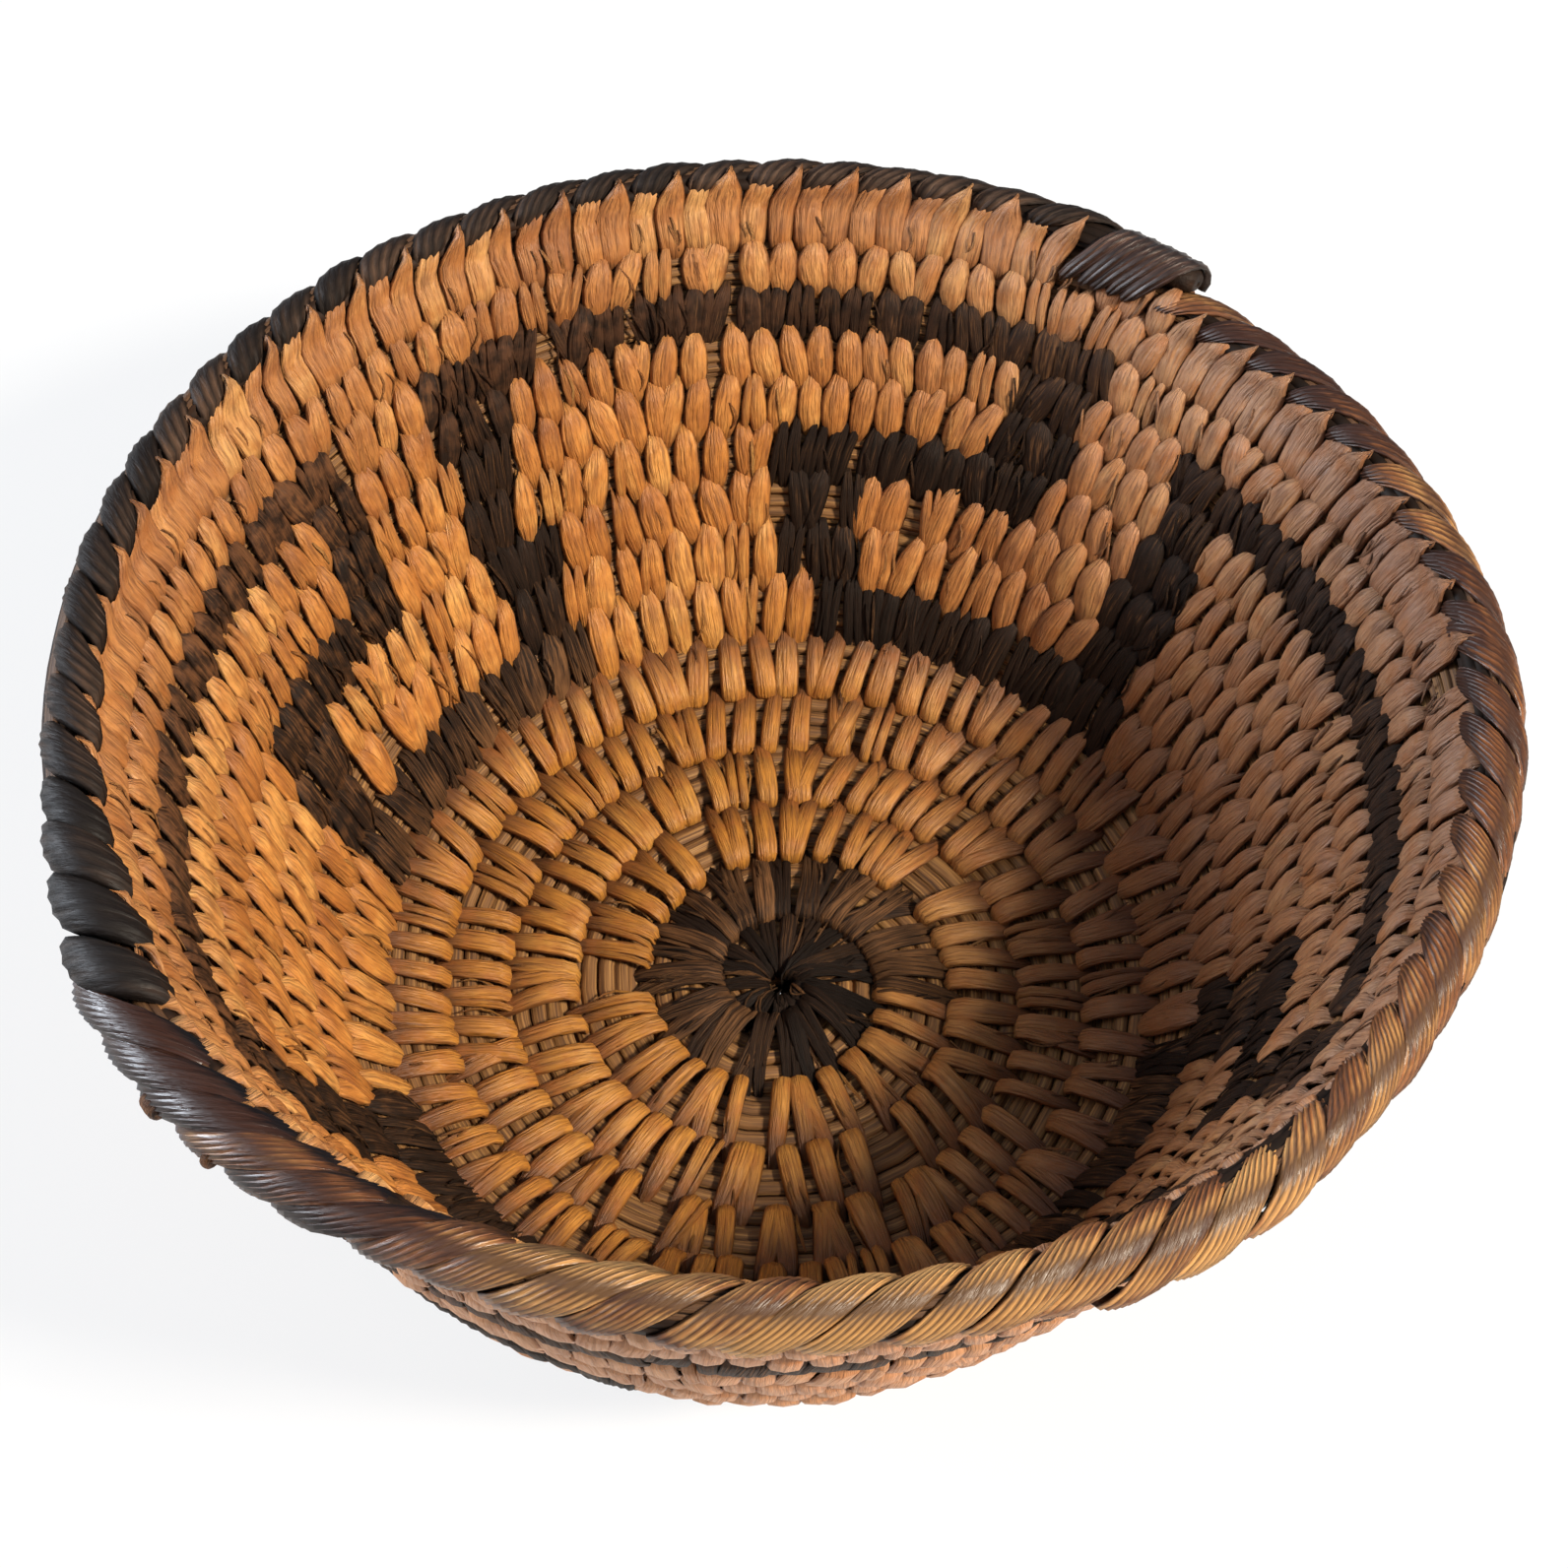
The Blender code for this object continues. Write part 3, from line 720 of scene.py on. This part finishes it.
# between two lobes of the black lacing one of them comes to a point that lies on the rim
pointedPath = [
    (-0.31, 0.22, 0.62, 0), (-0.19, 0.66, 0.86, 0), (0.10, 0.97, 1.0, 0), (0.45, 1.03, 1.04, 0),
    (0.80, 0.95, 1.1, 0), (1.08, 1.00, 1.12, 0.0002), (1.30, 1.16, 1.0, 0.0005), (1.50, 1.40, 0.76, 0.0008),
    (1.68, 1.50, 0.44, 0.0012), (1.86, 1.36, 0.10, 0.0016), (1.40, 0.60, 0.4, 0.0006),
    (1.05, 0.30, 0.6, 0.0003)] + tallOuter
tallWays = [(tallPath, ()), (tallPath, (0.0001, 0.0003)), (tallPath, (-0.0001, 0.0001)), (pointedPath, ()),
            (pointedPath, (0.0001, -0.0001, 1.0, 1.12)), (pointedPath, (-0.0001, 0.0002, 1.0, 0.88)),
            (wallPath, ())]
tallKinds = {"plain": (0, 3), "pointed": (3, 6), "low": 6}
tallShapes = makeShapes("tallStitch", [
    [strand(bent(path, *way), roundCut, stitchCut)] for path, way in tallWays])
print("stitch shapes ready")


# Where every stitch goes, with azimuths in degrees for each course

sewing = {
    "pitch": 0.00305, "unevenPitch": 0.12, "pull": 0.30, "leanShare": 0.8, "mostFan": 1.2, "seed": 11,
    "startGap": 0.02, "firstFloorCourse": 10, "lastFloorCourse": 14, "squeezedFrom": 13,
    "leastSqueeze": 0.45, "willowUnevenness": 0.00025,
    "sway": 0.00026, "floorSway": 0.00052, "darkSway": 0.00040,
    "splintStitches": (14, 30), "splintShare": 0.55,
    "shapeChances": [0.18, 0.16, 0.15, 0.13, 0.12, 0.1, 0.08, 0.08],
    "darkChances": [0.12, 0.12, 0.2, 0.24, 0.16, 0.16],
    "alongShare": (0.86, 1.08), "acrossShare": (0.94, 1.05), "highShare": (0.90, 1.10),
    "darkRuns": {
        3: [(326, 408), (231, 312), (143, 219), (60, 131)],
        4: [(400, 408), (326, 333), (304, 312), (231, 238), (211, 220), (143, 149), (123, 131), (60, 68)],
        5: [(400, 408), (326, 333), (304, 312), (231, 238), (212, 221), (143, 149.5), (125, 131), (60, 68)],
        6: [(400, 408), (326, 352), (304, 312), (231, 260), (212, 221), (143.5, 172), (125, 131), (60, 93)],
        7: [(400, 408), (341, 352), (306, 312), (252, 260), (212, 220), (163, 172), (123, 131), (83, 92)],
        8: [(399, 414), (341, 352), (307, 312), (252, 260), (210, 219), (163, 170), (123, 131), (84, 92)],
        9: [(304, 348), (209, 260), (123, 172), (54, 88)],
        13: [(357, 415)], 14: [(54, 415)], 15: [(54, 415)]},
    "bare": {
        13: [(119, 125), (178, 187), (261, 267)], 12: [(271, 275), (300, 305), (399, 403)],
        11: [(166, 169.5), (206, 209), (244, 247.5), (329, 332.5)], 10: [(315, 317.5), (351, 353.5)]},
}

chance = np.random.default_rng(sewing["seed"])


def drawn(low=0.0, high=1.0):
    return float(chance.uniform(low, high))


def swayed(amount):
    return float(chance.normal(0, amount))


def picked(chances):
    return int(chance.choice(len(chances), p=chances))


def within(table, course, azimuth):
    return any(low <= azimuth <= high for low, high in table.get(course, []))


def layStitches():
    spots = []
    turn = coil["firstTurn"] + sewing["startGap"]
    place = lengthAt(turn)
    while turn < coil["lastTurn"] - 1:
        course, azimuth = courseOf(turn)
        outer = radiusAt(turn) + float(courseWidth(turn)) / 2
        squeeze = 1.0
        if course >= sewing["squeezedFrom"]:
            squeeze = min(1.0, max(radiusAt(turn) / outer, sewing["leastSqueeze"]))
        pitch = sewing["pitch"] * squeeze * (1 + drawn(-1, 1) * sewing["unevenPitch"])
        if not within(sewing["bare"], course, azimuth):
            spots.append([turn, place, pitch])
        place += pitch
        turn = turnAtLength(place)
    turns = np.array([s[0] for s in spots])
    stitches = []
    splintLeft, splintTone = 0, 0.5
    for turn, place, pitch in spots:
        if splintLeft == 0:
            splintLeft = int(chance.integers(*sewing["splintStitches"]))
            splintTone = drawn()
        splintLeft -= 1
        tone = splintTone * sewing["splintShare"] + drawn() * (1 - sewing["splintShare"])
        course, azimuth = courseOf(turn)
        radius = radiusAt(turn)
        # it leans towards the gap between two stitches of the course before
        lean = 0.0
        k = int(np.searchsorted(turns, turn - 1))
        if 0 < k < len(turns):
            gap = (turns[k - 1] + turns[k]) / 2 - (turn - 1)
            lean = float(np.clip(gap * 2 * math.pi * radius, -pitch / 2, pitch / 2))
        place += lean * sewing["pull"]
        lean *= 1 - sewing["pull"]
        slope = float(slopeAt(edgeReach(turn), azimuthOf(turn)))
        fan = min(float(courseWidth(turn)) * math.cos(slope) / radius, sewing["mostFan"])
        onFloor = sewing["firstFloorCourse"] <= course <= sewing["lastFloorCourse"]
        sway = sewing["floorSway"] if onFloor else sewing["sway"]
        stitches.append({
            "course": course, "azimuth": azimuth, "spot": place, "tone": tone, "fan": fan,
            "lean": lean * sewing["leanShare"] + swayed(sway),
            "shape": picked(sewing["shapeChances"]), "dark": within(sewing["darkRuns"], course, azimuth),
            "stretch": (pitch / sewing["pitch"] * drawn(*sewing["alongShare"]),
                        drawn(*sewing["acrossShare"]), drawn(*sewing["highShare"]))})
    return stitches


stitches = layStitches()
print("stitches", len(stitches))


def chosen(courses, isDark):
    return [s for s in stitches if s["course"] in courses and s["dark"] == isDark]


def sewWillow(name, laid, folder, nodes):
    sew(name, laid, folder, willow, nodes, sewing["willowUnevenness"])


def sewDark(name, courses, folder, nodes):
    shredded = [dict(s, shape=picked(sewing["darkChances"]), lean=s["lean"] + swayed(sewing["darkSway"]))
                for s in chosen(courses, True)]
    sew(name, shredded, folder, dark, nodes)


def nodesOf(kind, course):
    start = "%s_c%d" % (kind, course)
    return sorted(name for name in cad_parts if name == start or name.startswith(start + "_run"))


for course in range(2, 14):
    folder = floorShapes if course >= sewing["firstFloorCourse"] else wallShapes
    sewWillow("willowCourse%02d" % course, chosen([course], False), folder, nodesOf("willow", course))
for course in (3, 6, 9):
    sewDark("darkCourse%02d" % course, [course], darkShapes, nodesOf("dark", course))
sewDark("darkRisers", [4, 5, 7, 8], darkShapes, [])
sewDark("darkFloor", [13, 14], floorDarkShapes, [])
sewDark("darkStart", [15], startShapes, ["dark_start"])

# Fibres that have lifted off the splints
fibreCut = {"halfWidth": 0.00014, "crown": 0.00010, "under": 0.00008, "rise": 0.00215, "span": 0.0052}
fibrePath = [(-0.05, 0.90, 0.5, -0.0002), (0.18, 1.02, 1.0, 0.0001), (0.40, 1.12, 1.0, 0.0002),
             (0.62, 1.16, 0.9, 0.0), (0.82, 1.10, 0.5, -0.0003)]
fibreWays = [(), (0.0006, 0.0008), (-0.0008, -0.0006, 1.0, 1.5)]
fibreShapes = makeShapes("fibre", [
    [strand(bent(fibrePath, *way), roundCut, fibreCut, False)] for way in fibreWays])
loose = {"willow": 420, "dark": 340, "lean": 0.0007, "astray": 0.0014, "acrossShare": (0.6, 1.1),
         "highShare": (0.96, 1.06)}


def looseFrom(isDark, count):
    source = [s for s in stitches if s["dark"] == isDark]
    return [dict(source[i], shape=int(chance.integers(len(fibreWays))), tone=drawn(),
                 spot=source[i]["spot"] + drawn(-loose["astray"], loose["astray"]),
                 lean=swayed(loose["lean"]),
                 stretch=(1.0, drawn(*loose["acrossShare"]), drawn(*loose["highShare"])))
            for i in chance.choice(len(source), size=count, replace=True)]


sew("willowFibres", looseFrom(False, loose["willow"]), fibreShapes, willow, [])
sew("darkFibres", looseFrom(True, loose["dark"]), fibreShapes, dark, [])


# The foundation: a bundle of split rods, seen between the stitches (sizes with a capital are tree inputs)

bundle = {"firstTurn": -0.4, "lastTurn": 15.02, "Rods": 11, "Wide": 0.00215, "High": 0.00112,
          "Rod Radius": 0.00066, "Step": 0.003, "Span": 0.005, "Unevenness": 0.0003}
rimPacking = {"firstTurn": 14.1, "lastTurn": 15.082, "Rods": 8, "Wide": 0.00125, "High": 0.00130,
              "Rod Radius": 0.0010, "Step": 0.003, "Span": 0.0043, "Unevenness": 0.0003}

rodTree, rodIn, rodOut = openTree("foundationBundle", [
    ("Guide", "NodeSocketObject", None), ("Start", "NodeSocketFloat", 0.0), ("End", "NodeSocketFloat", 1.0),
    ("Step", "NodeSocketFloat", 0.003), ("Rods", "NodeSocketInt", 9), ("Wide", "NodeSocketFloat", 0.0017),
    ("High", "NodeSocketFloat", 0.0012), ("Rod Radius", "NodeSocketFloat", 0.0005),
    ("Span", "NodeSocketFloat", 0.005), ("Unevenness", "NodeSocketFloat", 0.0001),
    ("Finish", "NodeSocketMaterial", None)])
start, end = join(rodTree, rodIn.outputs["Start"]), join(rodTree, rodIn.outputs["End"])
line = put(rodTree, "GeometryNodeCurvePrimitiveLine", {"Start": start, "End": end}, mode="POINTS")
line = put(rodTree, "GeometryNodeResampleCurve",
           {"Curve": line.outputs[0], "Length": rodIn.outputs["Step"]}, mode="LENGTH")
ring = put(rodTree, "GeometryNodeMeshCircle", {"Vertices": rodIn.outputs["Rods"], "Radius": 1.0})
around = split(rodTree, position(rodTree))
wide = times(rodTree, around[0], rodIn.outputs["Wide"])
high = times(rodTree, around[1], rodIn.outputs["High"])
ring = put(rodTree, "GeometryNodeSetPosition",
           {"Geometry": ring.outputs[0], "Position": join(rodTree, 0.0, wide, high)})
rods = put(rodTree, "GeometryNodeInstanceOnPoints", {"Points": ring.outputs[0], "Instance": line.outputs[0]})
rods = put(rodTree, "GeometryNodeRealizeInstances", {"Geometry": rods.outputs[0]})
rodRound = put(rodTree, "GeometryNodeCurvePrimitiveCircle",
               {"Resolution": 5, "Radius": rodIn.outputs["Rod Radius"]})
rods = put(rodTree, "GeometryNodeCurveToMesh",
           {"Curve": rods.outputs[0], "Profile Curve": rodRound.outputs[0], "Fill Caps": True})
share = calc(rodTree, "DIVIDE", 1.0, rodIn.outputs["Span"])
rods = put(rodTree, "GeometryNodeTransform", {
    "Geometry": rods.outputs[0], "Translation": (0, 0.5, 0), "Scale": join(rodTree, 1.0, share, 1.0)})
windUp(rodTree, rodIn, rodOut, rods)


def windRods(name, sizes, finish, nodes):
    inputs = dict(sizes, Guide=guide, Finish=finish, Start=lengthAt(sizes["firstTurn"]),
                  End=lengthAt(sizes["lastTurn"]))
    makePiece(name, bpy.data.meshes.new(name), rodTree, inputs, nodes)


windRods("foundationBundle", bundle, straw, ["foundation_coil"])
windRods("rimPacking", rimPacking, dark, [])


# The overcast rim: ribbed laces that wind over the last course

laceCut = {"halfWidth": 0.00300, "crown": 0.00080, "under": 0.0004, "rise": 0.0023, "span": 0.0041}
lobeCut = dict(laceCut, crown=0.00088)
ropeCut = dict(laceCut, crown=0.00108)
strapCut = dict(laceCut, halfWidth=0.00125, crown=0.00066)
endCut = dict(laceCut, halfWidth=0.0054, crown=0.00192, under=0.0002)
stubCut = dict(laceCut, halfWidth=0.0011, crown=0.0008, under=0.0002)

# pitches and azimuths in degrees; swollen and pushed give azimuths and what the laces do there
rim = {
    "brownPitch": 5.4, "sweptPitch": 4.9, "blackPitch": 5.2, "lobePitch": 5.6, "strapPitch": 1.5,
    "firstAzimuth": 414, "narrowFrom": 368, "sweptFrom": 243, "changeAzimuth": 214, "lobesTo": 198,
    "lobesEnd": 64, "strapsFrom": 64.0, "strapsTo": 57.2, "endPlace": 59.6,
    "slant": 0.0070, "reach": 0.00235, "depth": 0.00225, "stations": 15, "outerEnd": -128,
    "sinkFrom": 0.55, "sinkSlope": 3.2, "leastDome": 0.25, "knobStations": 12,
    "tipBack": 0.0014, "narrowTipBack": 0.0022, "reachUp": 1.14, "lobeShare": 1.14,
    "firstShare": 0.3, "pitchShare": (0.93, 1.07), "alongShare": (0.95, 1.05), "acrossShare": (0.98, 1.03),
    "highShare": (0.97, 1.05), "pointShare": (0.9, 1.08), "stubs": [(223, 1.0, -0.0010), (229, 0.4, -0.0007)],
    "knobUnevenness": 0.0004,
    "swollen": ((54, 72, 84, 184, 196, 206, 214, 224, 233, 243, 360, 380),
                (0, 0, -0.07, -0.07, 0.04, 0.16, 0.16, 0.12, 0.06, 0, 0, -0.05)),
    "pushed": ((150, 168, 182, 194, 203, 209, 214, 219, 228, 240, 248, 295, 302, 310, 320, 335, 352, 365),
               (0, 0.0005, 0.0012, 0.0010, 0.0005, -0.0002, -0.0010, -0.0015, -0.0013, -0.0010, 0, 0,
                -0.0010, -0.0010, 0, 0.0008, 0.0010, 0)),
}


def ribbedCut(ribs, depth):
    # a domed section with ribs along the lace
    cut = []
    for j in range(2 * ribs + 1):
        a = -1 + j / ribs
        dome = (1 - a * a) ** 0.5 if abs(a) < 1 else 0.0
        if not dome:
            cut.append((a, 0.0, 0.0))
        elif j % 2:
            cut.append((a, max(dome, rim["leastDome"]), 1.0))
        else:
            cut.append((a, max(dome, rim["leastDome"]) - depth, 0.2))
    return cut + [(0.4, -0.8, 0.0), (-0.4, -0.8, 0.0)]


def lacePath(widths, slant, sway, innerEnd):
    path = []
    count = rim["stations"]
    for i in range(count):
        part = i / (count - 1)
        angle = math.radians(innerEnd + (rim["outerEnd"] - innerEnd) * part)
        y = 0.5 + rim["reach"] * math.cos(angle) / laceCut["span"]
        z = rim["depth"] * math.sin(angle) / laceCut["rise"]
        shift = slant * (2 * part - 1) + sway * math.sin(math.pi * part)
        width = float(np.interp(part, np.linspace(0, 1, len(widths)), widths))
        sink = min(1.0, rim["sinkFrom"] + rim["sinkSlope"] * min(part, 1 - part))
        path.append((0.5 + (y - 0.5) * sink, z * sink, width, shift))
    return path


def lace(widths, slantShare, sway, innerEnd, ribs, depth, cut):
    path = lacePath(widths, rim["slant"] * slantShare, sway, innerEnd)
    return [strand(path, ribbedCut(ribs, depth), cut, False)]


def knob(y, z, radius, cut):
    # a small ring round the coil, which a rounded cut turns into a closed knob
    angles = [2 * math.pi * i / rim["knobStations"] for i in range(rim["knobStations"])]
    path = [(y - radius * math.cos(angle) / laceCut["span"], z + radius * math.sin(angle) / laceCut["rise"],
             1.0, 0) for angle in angles]
    return [strand(path, knobCut, cut)]


brownWidths = (0.25, 0.62, 0.88, 1.0, 1.02, 1.0, 0.95, 0.8, 0.3)
blackWidths = (0.30, 0.72, 0.92, 1.00, 1.03, 1.00, 0.94, 0.76, 0.3)
lobeWidths = [width * rim["lobeShare"] for width in blackWidths]
narrowWidths = (0.22, 0.44, 0.70, 0.96, 1.08, 1.08, 1.0, 0.8, 0.3)
# straps that lash the coil's end down on the course before it
strapPath = [
    (-0.95, 0.92, 0.35, -0.0036), (-0.82, 1.12, 0.75, -0.0032), (-0.45, 1.20, 0.95, -0.0024),
    (-0.05, 1.22, 1.0, -0.0015), (0.35, 1.16, 1.0, -0.0006), (0.72, 0.98, 1.0, 0.0002),
    (0.98, 0.60, 1.0, 0.0009), (1.08, 0.12, 0.95, 0.0014), (1.02, -0.45, 0.9, 0.0018),
    (0.80, -0.85, 0.8, 0.0021), (0.45, -1.0, 0.7, 0.0024), (0.10, -0.95, 0.4, 0.0026)]
knobCut = [(-1.0, 0.0, 0.5), (-0.96, 0.48, 0.8), (-0.82, 0.80, 1.0), (-0.5, 0.96, 1.0), (0.1, 1.0, 1.0),
           (0.6, 0.95, 1.0), (0.88, 0.78, 1.0), (0.97, 0.50, 0.8), (1.0, 0.0, 0.5), (0.0, -1.0, 0.0)]
knobShapes = makeShapes("rimKnob", [knob(0.50, 0.0, 0.0004, endCut), knob(0.75, -1.38, 0.0002, stubCut)])
# widths, share of the slant, sway, angle of the inner end, ribs and their depth, section
laceShapes = makeShapes("rimLace", [
    lace(brownWidths, 1.0, 0.0, 128, 8, 0.26, laceCut),
    lace(brownWidths, 1.08, 0.0004, 128, 9, 0.22, laceCut),
    lace(brownWidths, 0.93, -0.0003, 128, 7, 0.28, laceCut),
    lace(blackWidths, 0.62, 0.0, 98, 4, 0.14, lobeCut),
    lace(blackWidths, 0.70, 0.0003, 98, 5, 0.18, lobeCut),
    [strand(strapPath, ribbedCut(3, 0.22), strapCut, False)],
    lace(lobeWidths, 0.70, 0.0, 118, 4, 0.16, ropeCut),
    lace(brownWidths, 1.32, 0.0, 122, 7, 0.30, ropeCut),
    lace(brownWidths, 1.24, 0.0003, 122, 8, 0.28, ropeCut),
    lace(narrowWidths, 1.0, 0.0, 114, 6, 0.26, laceCut),
])
laceKinds = {"brown": [0, 1, 2], "black": [3, 4], "strap": [5], "lobe": [6], "swept": [7, 8], "narrow": [9]}


def layLaces(fromAzimuth, toAzimuth, pitch, kind):
    laces = []
    azimuth = fromAzimuth - pitch * rim["firstShare"]
    while azimuth > toAzimuth:
        swollen = 1 + float(np.interp(azimuth, *rim["swollen"]))
        laces.append({
            "spot": lengthAt(turnOf(0, azimuth)), "push": float(np.interp(azimuth, *rim["pushed"])),
            "tone": drawn(), "shape": int(chance.choice(laceKinds[kind])),
            "stretch": (drawn(*rim["alongShare"]), drawn(*rim["acrossShare"]) * swollen,
                        drawn(*rim["highShare"]) * (0.5 + 0.5 * swollen))})
        azimuth -= pitch * drawn(*rim["pitchShare"])
    return laces


narrowLaid = layLaces(rim["firstAzimuth"], rim["narrowFrom"], rim["brownPitch"], "narrow")
brownLaid = narrowLaid + layLaces(rim["narrowFrom"], rim["sweptFrom"], rim["brownPitch"], "brown")
brownLaid += layLaces(rim["sweptFrom"], rim["changeAzimuth"], rim["sweptPitch"], "swept")
sew("brownLaces", brownLaid, laceShapes, brownLace, ["rim_laces_brown"])
blackLaid = layLaces(rim["changeAzimuth"], rim["lobesTo"], rim["lobePitch"], "lobe")
blackLaid += layLaces(rim["lobesTo"], rim["lobesEnd"], rim["blackPitch"], "black")
sew("blackLaces", blackLaid, laceShapes, blackLace, ["rim_laces_black"])

# the course under the rim, with a point between each two lobes or narrow laces
underRim = []
for stitch in chosen([1], False):
    if rim["changeAzimuth"] < stitch["azimuth"] < rim["narrowFrom"]:
        swept = stitch["azimuth"] < rim["sweptFrom"]
        stretch = (stitch["stretch"][0], rim["reachUp"], 1.0) if swept else stitch["stretch"]
        underRim.append(dict(stitch, shape=stitch["shape"] % tallKinds["plain"][1], stretch=stretch))
    elif stitch["azimuth"] < rim["lobesEnd"]:
        underRim.append(dict(stitch, shape=tallKinds["low"]))
for row, back in ((blackLaid, rim["tipBack"]), (narrowLaid, rim["narrowTipBack"])):
    points = [lengthAt(turnAtLength(over["spot"] - back) - 1) for over in row]
    for i, point in enumerate(points):
        pair = [(point, int(chance.integers(*tallKinds["pointed"])))]
        if i:
            pair.append(((point + points[i - 1]) / 2, int(chance.integers(*tallKinds["plain"]))))
        for place, shape in pair:
            underRim.append({"spot": place, "lean": swayed(sewing["sway"]), "shape": shape, "tone": drawn(),
                             "stretch": (drawn(*rim["pointShare"]), 1.0, 1.0)})
sewWillow("willowCourse01", underRim, tallShapes, ["willow_c1"])
straps = layLaces(rim["strapsFrom"], rim["strapsTo"], rim["strapPitch"], "strap")
sew("endStraps", straps, laceShapes, strap, [])


def layKnobs(places, shape):
    return [{"spot": lengthAt(turnOf(0, azimuth)), "tone": drawn(), "shape": shape, "push": push,
             "stretch": (size, 1.0, 1.0)} for azimuth, size, push in places]


endKnob = layKnobs([(rim["endPlace"], 1.0, 0.0)], 0)
sew("coilEnd", endKnob, knobShapes, dark, [], rim["knobUnevenness"])
stubs = layKnobs(rim["stubs"], 1)
sew("cutStubs", stubs, knobShapes, dark, [], rim["knobUnevenness"])

bpy.data.objects.remove(guide)


# Floor, light and finish

studio = {
    "key": {"azimuth": 334.0, "height": 47.0, "distance": 0.75, "size": 0.11, "power": 8.5,
            "colour": (1.0, 0.91, 0.76)},
    "fill": {"azimuth": 168.0, "height": 16.0, "distance": 0.8, "size": 0.30, "power": 7.0,
             "colour": (0.82, 0.90, 1.0)},
    "window": {"azimuth": 185.0, "height": 40.0, "distance": 0.8, "size": 0.50, "power": 1.1,
               "colour": (0.84, 0.92, 1.0)},
    "skyStrength": 0.30, "skyColour": (0.80, 0.92, 1.12), "aim": (0, 0, 0.02),
    "floorReach": 3, "floorHeight": -0.0006, "floorColour": (0.8, 0.8, 0.8), "floorGlow": 0.8,
}

reach, low = studio["floorReach"], studio["floorHeight"]
floorMesh = bpy.data.meshes.new("floor")
floorMesh.from_pydata([(x * reach, y * reach, low) for x, y in ((-1, -1), (1, -1), (1, 1), (-1, 1))],
                      [], [(0, 1, 2, 3)])
floor = bpy.data.objects.new("floor", floorMesh)
scene.collection.objects.link(floor)
floorLook, tree, shader = shaderOf("paleFloor", 0.9)
shader.inputs["Base Color"].default_value = (*studio["floorColour"], 1)
glow = put(tree, "ShaderNodeEmission", {"Color": (1, 1, 1, 1), "Strength": 1.0})
seen = put(tree, "ShaderNodeLightPath")
share = times(tree, seen.outputs["Is Camera Ray"], studio["floorGlow"])
mixed = put(tree, "ShaderNodeMixShader", {0: share, 1: shader.outputs[0], 2: glow.outputs[0]})
tree.links.new(mixed.outputs[0], tree.nodes["Material Output"].inputs[0])
floorMesh.materials.append(floorLook)

for name in ("key", "fill", "window"):
    settings = studio[name]
    light = bpy.data.objects.new(name, bpy.data.lights.new(name, "AREA"))
    light.data.energy = settings["power"]
    light.data.size = settings["size"]
    light.data.color = settings["colour"]
    away, high = math.radians(settings["azimuth"]), math.radians(settings["height"])
    aim = Vector((math.cos(away) * math.cos(high), math.sin(away) * math.cos(high), math.sin(high)))
    light.location = aim * settings["distance"]
    light.rotation_euler = (Vector(studio["aim"]) - light.location).to_track_quat("-Z", "Y").to_euler()
    scene.collection.objects.link(light)
print("floor and lights placed")

world = bpy.data.worlds.new("studio")
world.use_nodes = True
tree = world.node_tree
sky = tree.nodes["Background"]
sky.inputs["Color"].default_value = (*studio["skyColour"], 1)
sky.inputs["Strength"].default_value = studio["skyStrength"]
plain = put(tree, "ShaderNodeBackground", {"Color": (1, 1, 1, 1), "Strength": 1.0})
seen = put(tree, "ShaderNodeLightPath")
mixed = put(tree, "ShaderNodeMixShader",
            {0: seen.outputs["Is Camera Ray"], 1: sky.outputs[0], 2: plain.outputs[0]})
tree.links.new(mixed.outputs[0], tree.nodes["World Output"].inputs[0])
scene.world = world
scene.view_settings.view_transform = "Standard"
